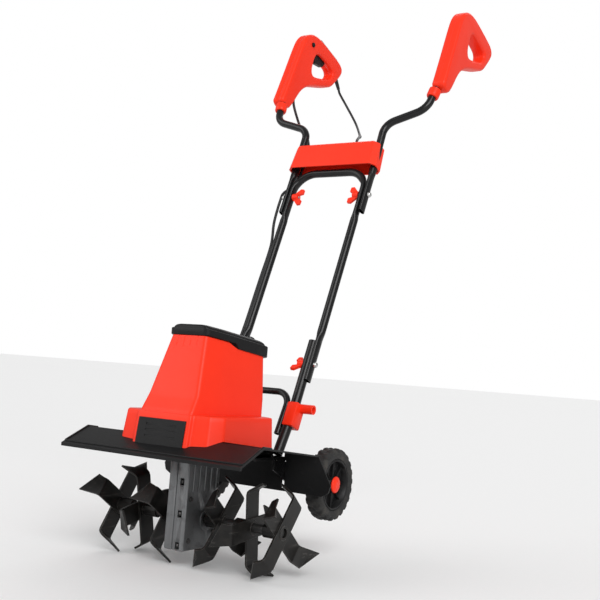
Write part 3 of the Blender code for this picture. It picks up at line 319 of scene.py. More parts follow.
def newPiece(name, points, faces, sharp=40):
    mesh = bpy.data.meshes.new(name)
    mesh.from_pydata([tuple(point) for point in points], [], faces)
    shape = bmesh.new()
    shape.from_mesh(mesh)
    bmesh.ops.recalc_face_normals(shape, faces=shape.faces)
    shape.to_mesh(mesh)
    shape.free()
    mesh.shade_smooth()
    mesh.set_sharp_from_angle(angle=math.radians(sharp))
    piece = bpy.data.objects.new(name, mesh)
    bpy.context.scene.collection.objects.link(piece)
    return piece


# skin through rings of equal counts; closed joins the last ring to the first
def skin(name, rings, closed=False, sharp=40):
    count = len(rings[0])
    points = [point for ring in rings for point in ring]
    faces = []
    for i in range(len(rings) if closed else len(rings) - 1):
        low = i * count
        high = ((i + 1) % len(rings)) * count
        faces += [(low + j, low + (j + 1) % count, high + (j + 1) % count, high + j) for j in range(count)]
    if not closed:
        faces.append(tuple(range(count)))
        faces.append(tuple((len(rings) - 1) * count + j for j in range(count)))
    return newPiece(name, points, faces, sharp)


def addBevel(piece, width, segments=2, angle=32):
    edge = piece.modifiers.new("edge", "BEVEL")
    edge.width = width
    edge.segments = segments
    edge.limit_method = "ANGLE"
    edge.angle_limit = math.radians(angle)
    edge.harden_normals = True
    edge.miter_outer = "MITER_ARC"
    return piece


# settles booleans and bevels into the mesh itself
def applied(piece):
    bpy.context.view_layer.update()
    graph = bpy.context.evaluated_depsgraph_get()
    mesh = bpy.data.meshes.new_from_object(piece.evaluated_get(graph))
    piece.modifiers.clear()
    piece.data = mesh
    return piece


def takeAway(piece, cutter):
    step = piece.modifiers.new("cut", "BOOLEAN")
    step.operation = "DIFFERENCE"
    step.solver = "EXACT"
    step.object = cutter
    applied(piece)
    bpy.data.objects.remove(cutter)
    return piece


# several pieces made into one, with edges sharper than the given angle kept crisp
def joined(name, pieces, sharp=38):
    shape = bmesh.new()
    for piece in pieces:
        shape.from_mesh(applied(piece).data)
    mesh = bpy.data.meshes.new(name)
    shape.to_mesh(mesh)
    shape.free()
    for piece in pieces:
        bpy.data.objects.remove(piece)
    mesh.shade_smooth()
    mesh.set_sharp_from_angle(angle=math.radians(sharp))
    made = bpy.data.objects.new(name, mesh)
    bpy.context.scene.collection.objects.link(made)
    return made


# a welded copy of a node's own shape, with its corners rounded
weld = {"reach": 0.000005, "flat": 0.6, "sharp": 30}


def rounded(name, node, width, segments=2, angle=32):
    shape = bmesh.new()
    shape.from_mesh(nodes[node].data)
    bmesh.ops.remove_doubles(shape, verts=shape.verts, dist=weld["reach"])
    flat = math.radians(weld["flat"])
    bmesh.ops.dissolve_limit(shape, angle_limit=flat, verts=shape.verts, edges=shape.edges)
    points = [vertex.co.copy() for vertex in shape.verts]
    shape.verts.index_update()
    faces = [tuple(vertex.index for vertex in face.verts) for face in shape.faces]
    shape.free()
    return addBevel(newPiece(name, points, faces, weld["sharp"]), width, segments, angle)


# straight runs joined by round bends
def tidyRoute(corners, radii, steps=10):
    route = [Vector(corners[0])]
    for i in range(1, len(corners) - 1):
        here = Vector(corners[i])
        back = (Vector(corners[i - 1]) - here).normalized()
        ahead = (Vector(corners[i + 1]) - here).normalized()
        half = back.angle(ahead) / 2
        radius = radii[i - 1]
        trim = radius / math.tan(half)
        middle = here + (back + ahead).normalized() * (radius / math.sin(half))
        first = here + back * trim - middle
        last = here + ahead * trim - middle
        turn = first.angle(last)
        for k in range(steps + 1):
            t = k / steps
            spoke = first * math.sin((1 - t) * turn) + last * math.sin(t * turn)
            route.append(middle + spoke / math.sin(turn))
    route.append(Vector(corners[-1]))
    return route


# tube along a route, with a half width and half depth at each point; a wall makes it hollow
def sweep(name, route, sections, count=28, side=Vector((1, 0, 0)), wall=0.0):
    rings = []
    inner = []
    for i, point in enumerate(route):
        ahead = route[min(i + 1, len(route) - 1)] - route[max(i - 1, 0)]
        ahead = ahead.normalized()
        side = (side - ahead * side.dot(ahead)).normalized()
        across = ahead.cross(side)
        wide, deep = sections[i]
        turns = [2 * math.pi * k / count for k in range(count)]
        rings.append([point + side * wide * math.cos(a) + across * deep * math.sin(a) for a in turns])
        inner.append([point + side * (wide - wall) * math.cos(a) + across * (deep - wall) * math.sin(a)
                      for a in turns])
    if wall:
        return skin(name, rings + inner[::-1], closed=True, sharp=50)
    return skin(name, rings, sharp=50)


def roundSections(route, radius):
    return [(radius, radius)] * len(route)


# evenly spaced points on a smooth curve through the marks
def smoothRoute(marks, spacing, steps=24):
    marks = [Vector(mark) for mark in marks]
    marks = [2 * marks[0] - marks[1]] + marks + [2 * marks[-1] - marks[-2]]
    fine = []
    for i in range(1, len(marks) - 2):
        a, b, c, d = marks[i - 1:i + 3]
        for k in range(steps):
            t = k / steps
            fine.append(0.5 * (2 * b + (c - a) * t + (2 * a - 5 * b + 4 * c - d) * t * t
                               + (3 * b - a - 3 * c + d) * t ** 3))
    fine.append(marks[-2])
    length = sum((b - a).length for a, b in zip(fine, fine[1:]))
    pieces = max(2, round(length / spacing))
    route = [fine[0]]
    left = length / pieces
    for a, b in zip(fine, fine[1:]):
        reach = (b - a).length
        used = 0.0
        while reach - used >= left and len(route) < pieces:
            used += left
            route.append(a + (b - a) * (used / reach))
            left = length / pieces
        left -= reach - used
    return route + [fine[-1]]


# profile of radius and level, turned about a line across the machine
def turned(name, profile, centre, count):
    rings = []
    for k in range(count):
        turn = 2 * math.pi * k / count
        rings.append([Vector((level, radius * math.cos(turn), radius * math.sin(turn))) + Vector(centre)
                      for radius, level in profile])
    return skin(name, rings, closed=True, sharp=35)


# corner cutting, twice over, turns a drawn outline into a soft one
def softOutline(outline, rounds=2):
    points = [Vector(point) for point in outline]
    for _ in range(rounds):
        points = [a.lerp(b, t) for a, b in zip(points, points[1:] + points[:1]) for t in (0.25, 0.75)]
    return points


def insetOutline(outline, amount):
    moved = []
    for i, here in enumerate(outline):
        one = (here - outline[i - 1]).normalized()
        two = (outline[(i + 1) % len(outline)] - here).normalized()
        moved.append(here + Vector((one.y + two.y, -one.x - two.x)).normalized() * amount)
    return moved


def coverPoint(x, back, up):
    return highPivot + behind * back + along * up + Vector((x, 0, 0))


def fromHigh(x, y, z):
    return highPivot + Vector((x, y, z))


# frame tubes: where they stand across, and how a round tube turns flat where it is bolted
legX, lowTubeX, highTubeX = 0.0905, 0.0789, 0.1021
tube = {"leg": 0.0088, "low": 0.0102, "flat": 0.0055, "fade": 0.018, "lean": 1.22, "wall": 0.0014,
        "count": 28, "archFrom": 0.001, "archFade": 0.010, "boltHead": 0.0071}

# cords: the switch's lead loops from the left grip to the cover, the power lead follows the left side down
lead = {"radius": 0.0032, "spacing": 0.010, "touch": 0.0004, "legGap": 0.0008, "count": 14}
leadLowX = -(legX + tube["flat"] + tube["boltHead"] + lead["radius"] + lead["touch"])
leadHighX = -(highTubeX + tube["flat"] + tube["boltHead"] + lead["radius"] + lead["touch"])
leadSide = legX + tube["leg"] + lead["radius"] + lead["legGap"]
reliefStart = fromHigh(-0.213, 0.359, 0.420)
reliefEnd = fromHigh(-0.213, 0.389, 0.386)
reliefWay = (reliefEnd - reliefStart).normalized()
coverLeadTop = coverPoint(-0.0960, 0.0138, 0.133)
coverCordTop = coverPoint(0.040, 0.006, 0.133)
switchMarks = [reliefEnd + reliefWay * lead["touch"], reliefEnd + reliefWay * 0.014,
               fromHigh(-0.200, 0.421, 0.344), fromHigh(-0.165, 0.411, 0.295),
               fromHigh(-0.115, 0.346, 0.245), fromHigh(-0.060, 0.251, 0.205),
               fromHigh(0.0, 0.141, 0.175), coverCordTop + along * 0.022 + Vector((-0.006, 0, 0)),
               coverCordTop, coverCordTop - along * 0.012]
upperMarks = [fromHigh(-0.209, 0.161, 0.312), fromHigh(-0.205, 0.155, 0.277),
              fromHigh(-0.186, 0.151, 0.232), fromHigh(-0.150, 0.121, 0.190),
              fromHigh(-0.114, 0.089, 0.162), coverLeadTop + along * 0.012, coverLeadTop,
              coverPoint(-0.0962, 0.0140, 0.100), coverPoint(-0.0975, 0.0145, 0.070),
              coverPoint(-0.1100, 0.0130, 0.040), coverPoint(leadHighX, 0.0030, 0.016),
              coverPoint(leadHighX, 0, 0.006), coverPoint(leadHighX, 0, -0.006),
              coverPoint(leadHighX, 0, -0.024), coverPoint(-0.1150, 0, -0.070),
              coverPoint(-leadSide, 0, -0.130), coverPoint(-leadSide, 0, -0.220)]
lowerMarks = [coverPoint(-leadSide, 0, -0.220), coverPoint(-leadSide, 0, -0.330),
              coverPoint(leadLowX, 0, 0.026 - pivotGap), coverPoint(leadLowX, 0, 0.004 - pivotGap),
              coverPoint(leadLowX, 0, -0.004 - pivotGap),
              coverPoint(leadLowX + 0.002, 0.012, -0.026 - pivotGap),
              coverPoint(-0.086, 0.022, -0.054 - pivotGap), coverPoint(-0.060, 0.020, -0.082 - pivotGap),
              axleAt + Vector((-0.044, 0.172, 0.221)), axleAt + Vector((-0.037, 0.125, 0.213)),
              axleAt + Vector((-0.035, 0.092, 0.212)), axleAt + Vector((-0.035, 0.074, 0.212))]


def cordTube(name, marks):
    route = smoothRoute(marks, lead["spacing"])
    return route, sweep(name, route, roundSections(route, lead["radius"]), lead["count"])


route, switchCord = cordTube("switchCord", switchMarks)
settle(switchCord, "upper", "cord_rubber", "switch_cord")
switchLength = sum((b - a).length for a, b in zip(route, route[1:]))
for name, marks, bodies, pivot, stoodFor in (
        ("powerLeadHigh", upperMarks, ("upper", "middle"), highPivot,
         ("power_lead_upper", "power_lead_middle")),
        ("powerLeadLow", lowerMarks, ("middle", "base"), lowPivot, ("power_lead_lower",))):
    made = settle(cordTube(name, marks)[1], None, "cord_rubber")
    pivot + along * 0.014
    pivot - along * 0.014
    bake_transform(made)
    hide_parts(*stoodFor)
print("cords laid, switch lead %.3f m" % switchLength)

def flatSections(route, radius, spots):
    sections = []
    for point in route:
        near = []
        for spot, reach in spots:
            near.append(((Vector((0, point.y, point.z)) - spot).length - reach) / tube["fade"])
        share = min(max(min(near), 0.0), 1.0)
        if abs(point.x) < legX - tube["archFrom"]:
            share = max(share, min((legX - abs(point.x)) / tube["archFade"], 1.0))
        share = share * share * (3 - 2 * share)
        sections.append((tube["flat"] + (radius - tube["flat"]) * share,
                         radius * (tube["lean"] + (1 - tube["lean"]) * share)))
    return sections


def stretch(start, end, count):
    return [start.lerp(end, k / count) for k in range(count)]


# where the frame's slope passes a height above the tine axle
def slopeAt(level):
    return lowPivot - along * ((lowPivot.z - axleAt.z - level) / along.z)


# middle frame: one tube goes up, over the arch and down again
middleTube = {"below": 0.036, "above": 0.0635, "bend": 0.048, "flatLow": 0.056, "flatHigh": 0.048}


def makeMiddleFrame():
    left, right = Vector((-legX, 0, 0)), Vector((legX, 0, 0))
    low = lowPivot - along * middleTube["below"]
    top = highPivot + along * middleTube["above"]
    corners = [highPivot + left, top + left, top + right, highPivot + right]
    arch = tidyRoute(corners, [middleTube["bend"]] * 2, 14)
    rise = stretch(low, highPivot, 70)
    route = [point + left for point in rise] + arch + [point + right for point in rise[::-1]]
    spots = ((lowPivot, middleTube["flatLow"]), (highPivot, middleTube["flatHigh"]))
    sections = flatSections(route, tube["leg"], spots)
    frameTube = sweep("middleFrame", route, sections, tube["count"], wall=tube["wall"])
    settle(frameTube, "middle", "black_paint", "middle_frame")


# lower tubes: down along the frame, then a bend and a run to the guard
lowerTube = {"above": 0.052, "bendEnd": 0.060, "bendTo": 0.062, "corner": 0.098, "bend": 0.06, "foot": 0.121,
             "run": (0, -0.487, -0.873), "flat": 0.056, "wall": 0.0015}


def makeLowerTubes():
    corner = lowPivot - along * lowerTube["corner"]
    top = lowPivot + along * lowerTube["above"]
    run = Vector(lowerTube["run"])
    foot = corner + run * ((corner.z - axleAt.z - lowerTube["foot"]) / -run.z)
    for word, way in sides:
        shift = Vector((way * lowTubeX, 0, 0))
        route = tidyRoute([foot, corner, lowPivot - along * lowerTube["bendTo"]], [lowerTube["bend"]], 10)
        route += stretch(lowPivot - along * lowerTube["bendEnd"], top, 24) + [top]
        route = [point + shift for point in route]
        sections = flatSections(route, tube["low"], ((lowPivot, lowerTube["flat"]),))
        piece = sweep("lowerTube_" + word, route, sections, tube["count"], wall=lowerTube["wall"])
        settle(piece, "base", "black_paint", "lower_tube_" + word)


# carrying arch between the lower tubes, with its heights above the tine axle
carryTube = {"radius": 0.0068, "gap": 0.001, "top": 0.240, "foot": 0.158, "forward": 0.006, "bend": 0.030,
             "wall": 0.0012, "count": 24}


def makeCarryArch():
    half = Vector((lowTubeX - tube["low"] - carryTube["radius"] - carryTube["gap"], 0, 0))
    level = slopeAt(carryTube["top"])
    bottom = slopeAt(carryTube["foot"]) - Vector((0, carryTube["forward"], 0))
    route = tidyRoute([bottom - half, level - half, level + half, bottom + half], [carryTube["bend"]] * 2, 12)
    sections = roundSections(route, carryTube["radius"])
    arch = sweep("carryArch", route, sections, carryTube["count"], Vector((0, 1, 0)), carryTube["wall"])
    settle(arch, "base", "black_paint", "carry_arch")


# upper tubes: the corners of their S bend, from the upper pivot line
upperTube = {"below": 0.043, "above": 0.060, "flat": 0.043, "bends": (0.036, 0.040),
             "corners": ((0.1015, 0.0675, 0.176), (0.197, 0.0795, 0.208), (0.213, 0.128, 0.312))}


def upperCorners(way):
    start = highPivot + along * upperTube["above"] + Vector((way * highTubeX, 0, 0))
    return [start] + [fromHigh(way * x, back, up) for x, back, up in upperTube["corners"]]


def makeUpperTubes():
    for word, way in sides:
        shift = Vector((way * highTubeX, 0, 0))
        straight = stretch(highPivot - along * upperTube["below"], highPivot + along * upperTube["above"], 20)
        route = [point + shift for point in straight]
        route += tidyRoute(upperCorners(way), upperTube["bends"], 14)[1:]
        sections = flatSections(route, tube["leg"], ((highPivot, upperTube["flat"]),))
        piece = sweep("upperTube_" + word, route, sections, tube["count"], wall=tube["wall"])
        settle(piece, "upper", "black_paint", "upper_tube_" + word)


makeMiddleFrame()
makeLowerTubes()
makeCarryArch()
makeUpperTubes()
print("frame tubes swept")

# D handles: soft outline, rounded rims, a parting line round the middle and a ferrule where the tube goes in
handle = {"x": 0.213, "half": 0.0165, "shoulder": 0.0095, "face": 0.007, "steps": 6, "seam": 0.0007,
          "over": 0.004, "ferrule": 0.0140, "ferruleLow": 0.28, "ferruleHigh": 0.46, "lip": 0.86,
          "lipRun": 1.2, "mouth": (1.16, 1.14, 1.45, 1)}
handleOutline = [(0.091, 0.265), (0.101, 0.286), (0.132, 0.355), (0.162, 0.424), (0.177, 0.453),
                 (0.196, 0.471), (0.223, 0.480), (0.261, 0.477), (0.349, 0.453), (0.369, 0.444),
                 (0.377, 0.432), (0.373, 0.417), (0.337, 0.382), (0.325, 0.372), (0.311, 0.366),
                 (0.227, 0.344), (0.203, 0.334), (0.184, 0.322), (0.167, 0.305), (0.143, 0.272),
                 (0.121, 0.250)]
windowOutline = [(0.218, 0.380), (0.227, 0.414), (0.239, 0.432), (0.255, 0.437), (0.315, 0.421),
                 (0.327, 0.413), (0.327, 0.404), (0.313, 0.390), (0.299, 0.384), (0.231, 0.369)]


def handleRings(outline, inward, way, over=0.0):
    rings = []
    levels = []
    for k in range(handle["steps"] + 1):
        turn = math.pi / 2 * k / handle["steps"]
        levels.append((handle["shoulder"] + (handle["half"] - handle["shoulder"]) * math.sin(turn),
                       handle["face"] * (1 - math.cos(turn))))
    if over:
        levels.append((handle["half"] + over, levels[-1][1] + over))
    span = [(handle["seam"], 0.0)] + levels
    full = [(-x, inset) for x, inset in span[::-1]] + [(0.0, handle["seam"])] + span
    for x, inset in full:
        ring = insetOutline(outline, inset * inward)
        across = way * handle["x"] + x
        rings.append([(across, highPivot.y + point.x, highPivot.z + point.y) for point in ring])
    return rings


def makeFerrule(way):
    corners = upperCorners(way)
    start = corners[2].lerp(corners[3], handle["ferruleLow"])
    end = corners[2].lerp(corners[3], handle["ferruleHigh"])
    route = stretch(start, end, 8) + [end]
    lip = handle["lip"]
    radii = [handle["ferrule"] * (lip + (1 - lip) * min(1, k / handle["lipRun"])) for k in range(len(route))]
    return sweep("ferrule", route, [(radius, radius) for radius in radii], 36)


# the opening that the trigger moves in is a larger copy of the trigger
def cutMouth(shell):
    mouth = rounded("mouth", "trigger", 0.0004, 1)
    middle = sum((Vector(corner) for corner in mouth.bound_box), Vector()) / 8
    larger = Matrix.Diagonal(handle["mouth"])
    mouth.data.transform(Matrix.Translation(middle) @ larger @ Matrix.Translation(-middle))
    takeAway(shell, applied(mouth))


def makeHandles():
    for word, way in sides:
        shell = skin("handle_" + word, handleRings(softOutline(handleOutline), 1, way), sharp=60)
        hole = skin("window", handleRings(softOutline(windowOutline), -1, way, handle["over"]), sharp=60)
        takeAway(shell, hole)
        ferrule = makeFerrule(way)
        if way < 0:
            cutMouth(shell)
        made = joined("handleShell_" + word, [shell, ferrule])
        settle(made, "upper", "red_plastic", "handle_%s_outer" % word, "handle_%s_inner" % word)
        pad = rounded("gripPad_" + word, "grip_pad_" + word, 0.0012, 3)
        settle(pad, "upper", "soft_rubber", "grip_pad_" + word)


makeHandles()
print("handles moulded")

# motor housing: wide skirt, ledge and tapering tower, with soft corners; heights are above the tine axle
housing = {"corner": 0.0075, "steps": 5, "ledge": 0.193, "skirtCorner": 0.004, "spread": 0.055,
           "bellyBack": 0.035, "sit": 0.0012, "rearIn": 0.022, "rearOut": 0.014}
# skirt from the foot up: front, half width there, share of the spread, rear, height against the ledge
skirtSections = ((-0.132, 0.0602, 1.0, 0.062, -0.075), (-0.122, 0.0590, 0.93, 0.060, -0.003),
                 (-0.1212, 0.0584, 0.92, 0.0597, -0.0008), (-0.1196, 0.0574, 0.90, 0.0592, 0.0))
# tower from the foot up: front, half width there, belly, half width there, rear, half width there, height
towerRoot = (-0.1205, 0.058, -0.060, 0.068, 0.070, 0.0805, 0.183)
towerFoot = (-0.1195, 0.058, -0.060, 0.068, 0.070, 0.0805, 0.193)
towerWaist = (-0.101, 0.0555, -0.050, 0.0645, 0.072, 0.079, 0.226)
towerTop = (-0.070, 0.039, -0.030, 0.052, 0.072, 0.072)
groove = {"count": 4, "pitch": 0.014, "low": 0.312, "high": 0.340, "spread": 1.10,
          "section": (0.0012, 0.0010), "lean": (0.031, 0.107)}
vent = {"edge": 0.0008, "foot": 0.001, "move": (0, -0.0004, -0.0030), "backLow": 0.146, "backHigh": 0.177,
        "backFront": -0.1292, "backFrom": 0.145, "backLean": (0.0024, 0.0155), "backSection": (0.040, 0.0012)}
cap = {"seat": 0.333, "seatFront": -0.070, "slope": 0.14, "grow": 0.0030, "skirt": 0.0130, "crown": 0.0210,
       "steps": 6, "corner": 0.009, "split": 24, "drop": 0.0085, "dropFrom": -0.004, "dropRun": 0.004,
       "inward": 0.012}
deck = {"front": -0.160, "fold": -0.098, "frontHigh": 0.1225, "foldHigh": 0.151, "fall": 0.10}


def softCorners(plan, radius, steps):
    points = []
    for i, here in enumerate(plan):
        before, after = plan[i - 1], plan[(i + 1) % len(plan)]
        back, ahead = (before - here).normalized(), (after - here).normalized()
        trim = min(radius, 0.45 * (before - here).length, 0.45 * (after - here).length)
        first, last = here + back * trim, here + ahead * trim
        for k in range(steps + 1):
            t = k / steps
            points.append(first.lerp(here, t).lerp(here.lerp(last, t), t))
    return points


# one level of the housing; a level may also be a function of how far back a point lies
def housingRing(front, frontWide, belly, bellyWide, rear, rearWide, level, corner=None, cheek=()):
    last = (rearWide - housing["rearIn"], rear + housing["rearOut"])
    half = [(frontWide, front), *cheek, (bellyWide, belly), (rearWide, rear), last]
    plan = [(-frontWide, front)] + half + [(-x, back) for x, back in half[:0:-1]]
    soft = softCorners([Vector(point) for point in plan], corner or housing["corner"], housing["steps"])
    ring = []
    for point in soft:
        height = level(point.y) if callable(level) else level
        ring.append(Vector((point.x, point.y, height + axleAt.z)))
    return ring


def skirtRing(front, frontWide, share, rear, level):
    bellyWide = frontWide + housing["spread"] * share
    belly = front + housing["bellyBack"] * share
    cheek = ((frontWide + 0.003, front + 0.007), (frontWide + 0.036 * share, front + 0.011))
    high = housing["ledge"] + level
    corner = housing["skirtCorner"]
    return housingRing(front, frontWide, belly, bellyWide, rear, bellyWide, high, corner, cheek)


def capSeat(back):
    return cap["seat"] - (back - cap["seatFront"]) * cap["slope"]


def deckHeight(back):
    if back < deck["fold"]:
        share = (back - deck["front"]) / (deck["fold"] - deck["front"])
        return deck["frontHigh"] + (deck["foldHigh"] - deck["frontHigh"]) * share
    return deck["foldHigh"] - (back - deck["fold"]) * deck["fall"]


def mixRings(one, two, share):
    return [a.lerp(b, share) for a, b in zip(one, two)]


def makeSkirt():
    foot, shoulder, *ledges = [skirtRing(*section) for section in skirtSections]
    base = []
    for low, high in zip(foot, shoulder):      # the foot follows the guard's deck
        level = axleAt.z + deckHeight(low.y) + housing["sit"]
        base.append(low.lerp(high, (level - low.z) / (high.z - low.z)))
    return skin("skirt", [mixRings(base, shoulder, k / 6) for k in range(7)] + ledges, sharp=30)


def makeTower():
    foot = housingRing(*towerFoot)
    waist = housingRing(*towerWaist)
    top = housingRing(*towerTop, capSeat)
    rings = [housingRing(*towerRoot), foot]
    rings += [mixRings(foot, waist, k / 4) for k in range(1, 5)]
    rings += [mixRings(waist, top, k / 8) for k in range(1, 8)]
    rings += [mixRings(waist, top, 0.985), [point - Vector((0, 0, 0.0004)) for point in top]]
    body = skin("tower", rings, sharp=30)
    inward, upward = groove["lean"]
    for number in range(groove["count"]):
        x = (number - (groove["count"] - 1) / 2) * groove["pitch"]
        ends = []
        for spread, level in ((groove["spread"], groove["low"]), (1.0, groove["high"])):
            front = towerWaist[0] + (level - towerWaist[-1]) * inward / upward
            ends.append(axleAt + Vector((x * spread, front, level)))
        low, high = ends
        takeAway(body, sweep("groove", [low, low.lerp(high, 0.5), high], [groove["section"]] * 3, 12))
    return body


# the dark panel low in the housing's front, and a dark plate behind its slots as painted shade, standing in for
# the shadow inside the housing
def makeVent():
    panel = rounded("ventPanel", "vent_panel", vent["edge"], 3)
    foot = min(vertex.co.z for vertex in panel.data.vertices)
    for vertex in panel.data.vertices:         # the panel's foot reaches the guard
        if vertex.co.z < foot + vent["foot"]:
            vertex.co += Vector(vent["move"])
    settle(panel, "base", "black_plastic", "vent_panel")
    ends = []
    inward, upward = vent["backLean"]
    for level in (vent["backLow"], vent["backHigh"]):
        front = vent["backFront"] + (level - vent["backFrom"]) * inward / upward
        ends.append(axleAt + Vector((0, front, level)))
    low, high = ends
    # painted shade: a black plate that darkens the slots where the inside of the housing lies in shadow
    shadePlate = sweep("ventShadePlate", [low, low.lerp(high, 0.5), high], [vent["backSection"]] * 3, 4)
    settle(shadePlate, "base", "black_plastic")


def makeHousing():
    settle(joined("housingShell", [makeSkirt(), makeTower()]), "base", "red_plastic", "motor_housing")
    makeVent()


def evenRing(ring):
    shares = [k / cap["split"] for k in range(cap["split"])]
    return [here.lerp(ring[(i + 1) % len(ring)], share) for i, here in enumerate(ring) for share in shares]


def capRing(grow, lift):
    ring = housingRing(-0.0705 - grow / 2, 0.0395 + grow, -0.030, 0.0535 + grow, 0.076 + grow, 0.0745 + grow,
                       lambda back: capSeat(back) + lift, cap["corner"])
    return evenRing(ring)


# the band's lower edge hangs lower towards the back
def capFoot(grow, lift):
    ring = capRing(grow, lift)
    for point in ring:
        point.z -= cap["drop"] * min(max((point.y - cap["dropFrom"]) / cap["dropRun"], 0.0), 1.0)
    return ring


def makeCap():
    grow, skirt, crown = cap["grow"], cap["skirt"], cap["crown"]
    rings = [capFoot(-0.0005, 0.0004), capFoot(grow * 0.7, 0.0006), capFoot(grow, 0.0018)]
    rings += [capRing(grow, skirt - 0.0012), capRing(grow * 0.6, skirt)]
    for k in range(cap["steps"] + 1):
        turn = math.pi / 2 * k / cap["steps"]
        inset = -0.001 - cap["inward"] * (1 - math.cos(turn))
        rings.append(capRing(inset, skirt + (crown - skirt) * math.sin(turn)))
    settle(skin("capShell", rings, sharp=32), "base", "black_plastic", "housing_cap")


# guard: its own shape with soft edges, and a rolled rim along the front and the wings' ends
guard = {"half": 0.1975, "rimRear": -0.0725, "rimFront": -0.1545, "lift": 0.0004, "rim": (0.0017, 0.0021),
         "bend": 0.003, "edge": 0.0011}


def makeGuard():
    settle(rounded("guardPan", "tine_guard", guard["edge"]), "base", "black_plastic", "tine_guard")
    corners = []
    for _, way in sides:
        side = []
        for back in (guard["rimRear"], deck["fold"], guard["rimFront"]):
            side.append(axleAt + Vector((way * guard["half"], back, deckHeight(back) + guard["lift"])))
        corners += side if way < 0 else side[::-1]
    route = tidyRoute(corners, [guard["bend"]] * 4, 6)
    rim = sweep("guardRim", route, [guard["rim"]] * len(route), 14, Vector((0, 0, 1)))
    settle(rim, "base", "black_plastic")


makeHousing()
makeCap()
makeGuard()
print("housing, cap and guard moulded")

# wheels: lugged tyre, dished rim with ribs and a domed hub cap
wheel = {"radius": 0.071, "width": 0.035, "middle": 0.1475, "lugs": 22, "lug": 0.0034, "steps": 8,
         "lugTwist": 18, "lugHalf": 0.20, "lugFlank": 0.06, "lugFrom": 0.064, "groove": 0.0022,
         "grooveHalf": 0.0016}
# one side of the tyre's section: radius, and how far in from the side it lies
tyreSide = ((0.051, 0.003), (0.056, 0.0006), (0.062, 0.0), (0.0655, 0.0006), (0.0685, 0.0024),
            (0.0705, 0.006), (0.0710, 0.011))
spoke = {"count": 8, "inner": 0.0128, "outer": 0.0455, "lift": 0.0035, "section": (0.0045, 0.0017)}


def tyreRing(centre, way, profile, step):
    turn = 2 * math.pi * step / (wheel["lugs"] * wheel["steps"])
    ring = []
    for radius, level in profile:
        offset = 0.5 if level * way > 0 else 0.0      # the two rows of lugs stand between each other
        phase = (step / wheel["steps"] + offset + abs(level) * wheel["lugTwist"]) % 1.0
        low = min(max((abs(phase - 0.5) - wheel["lugHalf"]) / wheel["lugFlank"], 0.0), 1.0)
        worn = wheel["lug"] * (1 - low) if radius > wheel["lugFrom"] else 0.0
        cut = wheel["groove"] if abs(level) <= wheel["grooveHalf"] else 0.0
        r = radius - max(worn, cut)
        ring.append(centre + Vector((level, r * math.cos(turn), r * math.sin(turn))))
    return ring


def makeTyre(word, way, centre):
    half = [(radius, inward - wheel["width"] / 2) for radius, inward in tyreSide]
    half.append((wheel["radius"], -wheel["grooveHalf"]))
    profile = half + [(radius, -level) for radius, level in half[::-1]]
    rings = [tyreRing(centre, way, profile, step) for step in range(wheel["lugs"] * wheel["steps"])]
    tyre = skin("tyreTread_" + word, rings, closed=True, sharp=38)
    settle(tyre, "wheel_" + word, "tyre_rubber", "tyre_" + word)


def makeRim(word, way, centre):
    parts = [rounded("rimDish_" + word, "wheel_rim_" + word, 0.0007, 2, 25)]
    lift = Vector((way * spoke["lift"], 0, 0))
    for k in range(spoke["count"]):
        turn = 2 * math.pi * k / spoke["count"]
        arm = Vector((0, math.cos(turn), math.sin(turn)))
        start, end = centre + arm * spoke["inner"], centre + arm * spoke["outer"]
        route = [start + lift, start.lerp(end, 0.5) + lift, end + lift]
        parts.append(sweep("rib", route, [spoke["section"]] * 3, 12))
    settle(joined("rimDished_" + word, parts), "wheel_" + word, "black_plastic", "wheel_rim_" + word)


def makeWheels():
    hubAt = jointAt["wheel_right_spin"]
    for word, way in sides:
        centre = Vector((way * wheel["middle"], hubAt.y, hubAt.z))
        makeTyre(word, way, centre)
        makeRim(word, way, centre)
        dome = rounded("hubDome_" + word, "hub_cap_" + word, 0.0009, 3, 15)
        settle(dome, "wheel_" + word, "red_plastic", "hub_cap_" + word)


makeWheels()
print("wheels made")

# gear case: cast halves with upright ribs above the bearing boss, and screws from each side
case = {"side": 0.0222, "ribs": 5, "ribFrom": -0.048, "ribTo": 0.020, "ribLow": 0.052, "ribHigh": 0.108,
        "ribTip": (0.0004, 0.0010), "ribBody": (0.0022, 0.0016), "edge": 0.0012}
# radius and distance from the machine's middle, and the screws' places behind and above the tine axle
bossProfile = ((0.0125, 0.0215), (0.0205, 0.0215), (0.0205, 0.0232), (0.0190, 0.0242), (0.0140, 0.0242),
               (0.0125, 0.0232))
screwProfile = ((0.0001, 0.0215), (0.0050, 0.0215), (0.0050, 0.0228), (0.0036, 0.0230), (0.0034, 0.0256),
                (0.0001, 0.0260))
screwSpots = ((0.024, -0.024), (-0.052, 0.040), (0.024, 0.060), (-0.050, -0.034))


def caseRib(way, back):
    low = axleAt + Vector((way * case["side"], back, case["ribLow"]))
    high = axleAt + Vector((way * case["side"], back, case["ribHigh"]))
    route = [low, low.lerp(high, 0.08), low.lerp(high, 0.92), high]
    return sweep("rib", route, [case["ribTip"], case["ribBody"], case["ribBody"], case["ribTip"]], 12)


def makeGearCase():
    for word, way in sides:
        parts = [rounded("casting", "gear_case_" + word, case["edge"])]
        for k in range(case["ribs"]):
            back = case["ribFrom"] + (case["ribTo"] - case["ribFrom"]) * k / (case["ribs"] - 1)
            parts.append(caseRib(way, back))
        parts.append(turned("boss", [(radius, way * level) for radius, level in bossProfile], axleAt, 40))
        settle(joined("casting_" + word, parts), "base", "cast_alloy", "gear_case_" + word)
        profile = [(radius, way * level) for radius, level in screwProfile]
        heads = [turned("head", profile, axleAt + Vector((0, back, level)), 18) for back, level in screwSpots]
        settle(joined("caseScrews_" + word, heads), "base", "dark_steel")


blade = {"edge": 0.0006, "segments": 2, "angle": 20}


